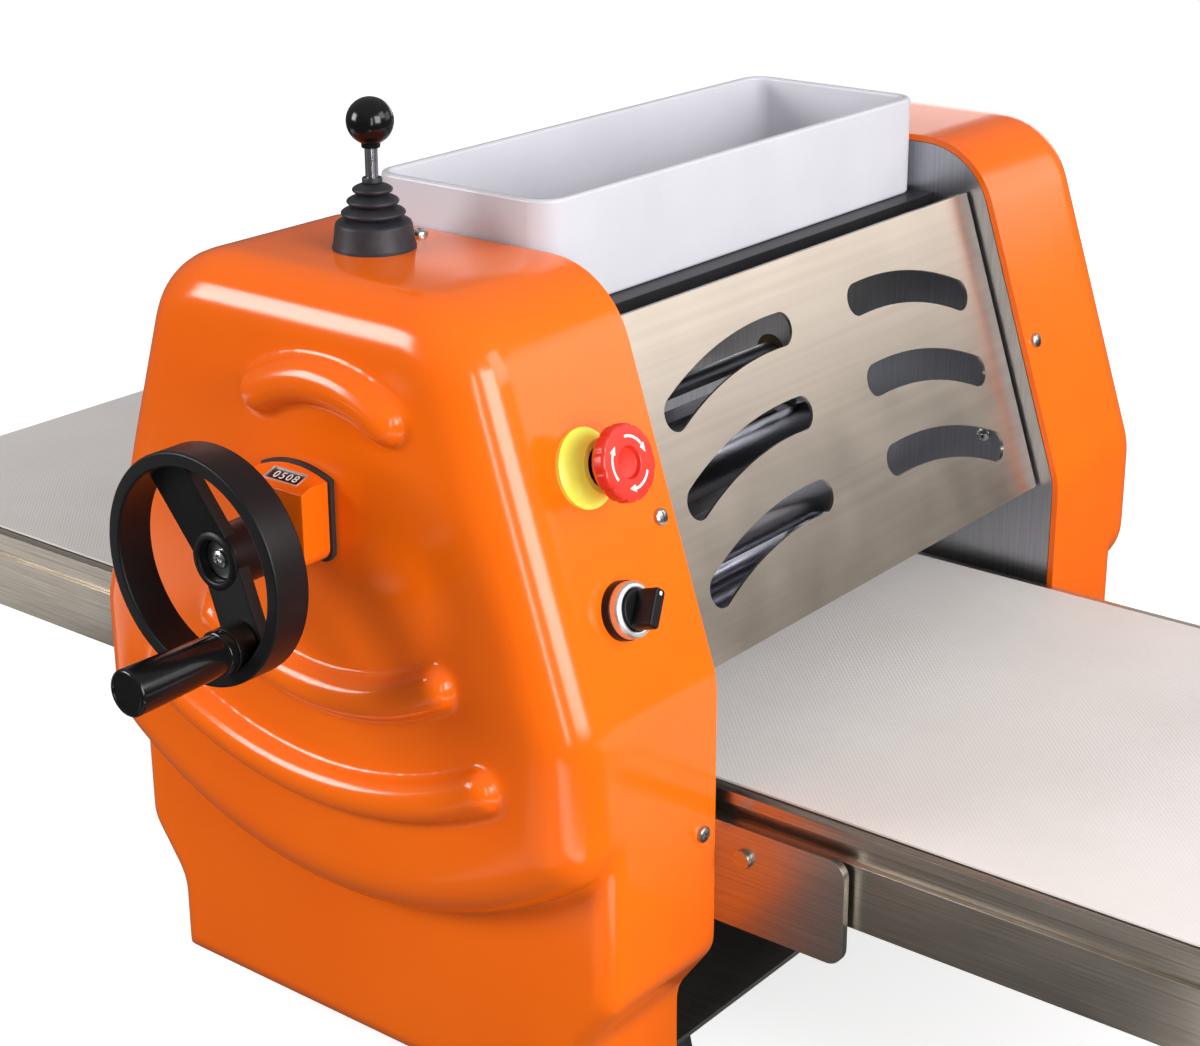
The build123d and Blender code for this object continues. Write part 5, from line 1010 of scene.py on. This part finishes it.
bpy.ops.mesh.extrude_region_move(
    TRANSFORM_OT_translate={"value": (0, 0, TRAY_WALL * MM - (tray_high.z - tray_low.z))})
object_mode()
soften(tray, width=2.0, segments=4, angle=50)
smooth(tray, 40)
fit(tray, white_pe, "flour_tray")

# The studio: a pale floor and soft boxes. The camera sees a white surround, and the machine mirrors
# a grey one that is dimmer below the horizon. The floor is kept out of mirrored and bounced light.
FLOOR_SIZE = 6.0
FLOOR_GLOW = 0.65
SKY_TONES = ((0.46, 0.10), (0.95, 0.42))
bpy.ops.object.select_all(action="DESELECT")
bpy.ops.mesh.primitive_plane_add(size=FLOOR_SIZE, location=(0, 0, 0))
floor = bpy.context.object
floor.name = "studio_floor"
pale_floor, _ = new_material("pale_studio_floor", "#EEEEEE",
                             {"Roughness": 0.7, "Emission Color": (1, 1, 1, 1),
                              "Emission Strength": FLOOR_GLOW})
floor.data.materials.append(pale_floor)
floor.visible_diffuse = False
floor.visible_glossy = False

world = bpy.data.worlds.new("studio")
bpy.context.scene.world = world
world.use_nodes = True
coords = add_node(world, "ShaderNodeTexCoord", {})
height = add_node(world, "ShaderNodeSeparateXYZ", {"Vector": coords.outputs["Generated"]})
share = add_node(world, "ShaderNodeMath", {0: height.outputs["Z"], 1: 0.5, 2: 0.5},
                 operation="MULTIPLY_ADD")
sky = add_node(world, "ShaderNodeValToRGB", {"Fac": share.outputs["Value"]})
for element, (position, tone) in zip(sky.color_ramp.elements, SKY_TONES):
    element.position = position
    element.color = grey(tone)
backdrop = world.node_tree.nodes["Background"]
world.node_tree.links.new(sky.outputs["Color"], backdrop.inputs["Color"])
white = add_node(world, "ShaderNodeBackground", {"Color": (1, 1, 1, 1), "Strength": 1.0})
rays = add_node(world, "ShaderNodeLightPath", {})
either = add_node(world, "ShaderNodeMixShader",
                  {0: rays.outputs["Is Camera Ray"], 1: backdrop.outputs[0], 2: white.outputs[0]})
world.node_tree.links.new(either.outputs[0], world.node_tree.nodes["World Output"].inputs["Surface"])
bpy.context.scene.view_settings.view_transform = "Standard"


def soft_light(name, place, target, size, power):
    """A soft box of this width and height that faces a target, out of the camera's sight."""
    bpy.ops.object.select_all(action="DESELECT")
    bpy.ops.object.light_add(type="AREA", location=place)
    lamp = bpy.context.object
    lamp.name = name
    lamp.data.shape = "RECTANGLE"
    lamp.data.size, lamp.data.size_y = size
    lamp.data.energy = power
    lamp.rotation_euler = (Vector(target) - Vector(place)).to_track_quat("-Z", "Y").to_euler()
    lamp.visible_camera = False


middle = at(0, 0, 60)
soft_light("left_key", (-1.9, -2.3, 1.35), middle, (1.2, 1.2), 66)
soft_light("right_softbox", (2.5, -0.5, 1.1), middle, (1.2, 1.4), 62)
soft_light("belt_softbox", (1.9, 0.6, 1.5), at(400, 0, 0), (1.0, 1.0), 14)
soft_light("edge_strip", (1.75, -1.5, 0.75), middle, (0.16, 1.3), 9)
soft_light("guard_softbox", (1.7, 2.0, 1.15), middle, (1.8, 1.1), 11)
soft_light("back_fill", (-0.8, 2.6, 0.7), middle, (1.4, 0.6), 5)
soft_light("left_bounce", (-0.85, -0.55, 0.01), (-0.85, -0.55, 1), (0.5, 0.5), 0.8)
soft_light("right_bounce", (0.12, -0.56, 0.01), (0.12, -0.56, 1), (0.4, 0.3), 0.15)
soft_light("edge_bounce", (0.46, -0.52, 0.01), (0.46, -0.52, 1), (0.12, 0.5), 0.6)

# The camera: a short telephoto at the photograph's place, looking down at about 19 degrees with a very
# slight roll. The lens shift puts the optical axis where it lies in the photograph.
AZIMUTH = math.radians(38.54)
ELEVATION = math.radians(19.47)
ROLL = math.radians(-0.30)
FOCAL_PIXELS = 2331.0
IMAGE_WIDTH = 1200.0
IMAGE_HEIGHT = 1046.0
PRINCIPAL = (599.0, 455.0)
CAMERA_PLACE = (834.5, -1108.6, 591.1)
SENSOR_WIDTH = 36.0
away = Vector((math.sin(AZIMUTH) * math.cos(ELEVATION), -math.cos(AZIMUTH) * math.cos(ELEVATION),
               math.sin(ELEVATION)))
right = Vector((math.cos(AZIMUTH), math.sin(AZIMUTH), 0))
up = away.cross(right)
rolled_right = math.cos(ROLL) * right + math.sin(ROLL) * up
rolled_up = math.cos(ROLL) * up - math.sin(ROLL) * right
bpy.ops.object.camera_add()
camera = bpy.context.object
camera.name = "photo_camera"
camera.matrix_world = Matrix.Translation(at(*CAMERA_PLACE)) @ Matrix(
    (rolled_right, rolled_up, away)).transposed().to_4x4()
camera.data.sensor_width = SENSOR_WIDTH
camera.data.lens = SENSOR_WIDTH * FOCAL_PIXELS / IMAGE_WIDTH
camera.data.shift_x = (IMAGE_WIDTH / 2 - PRINCIPAL[0]) / IMAGE_WIDTH
camera.data.shift_y = (PRINCIPAL[1] - IMAGE_HEIGHT / 2) / IMAGE_WIDTH
bpy.context.scene.camera = camera
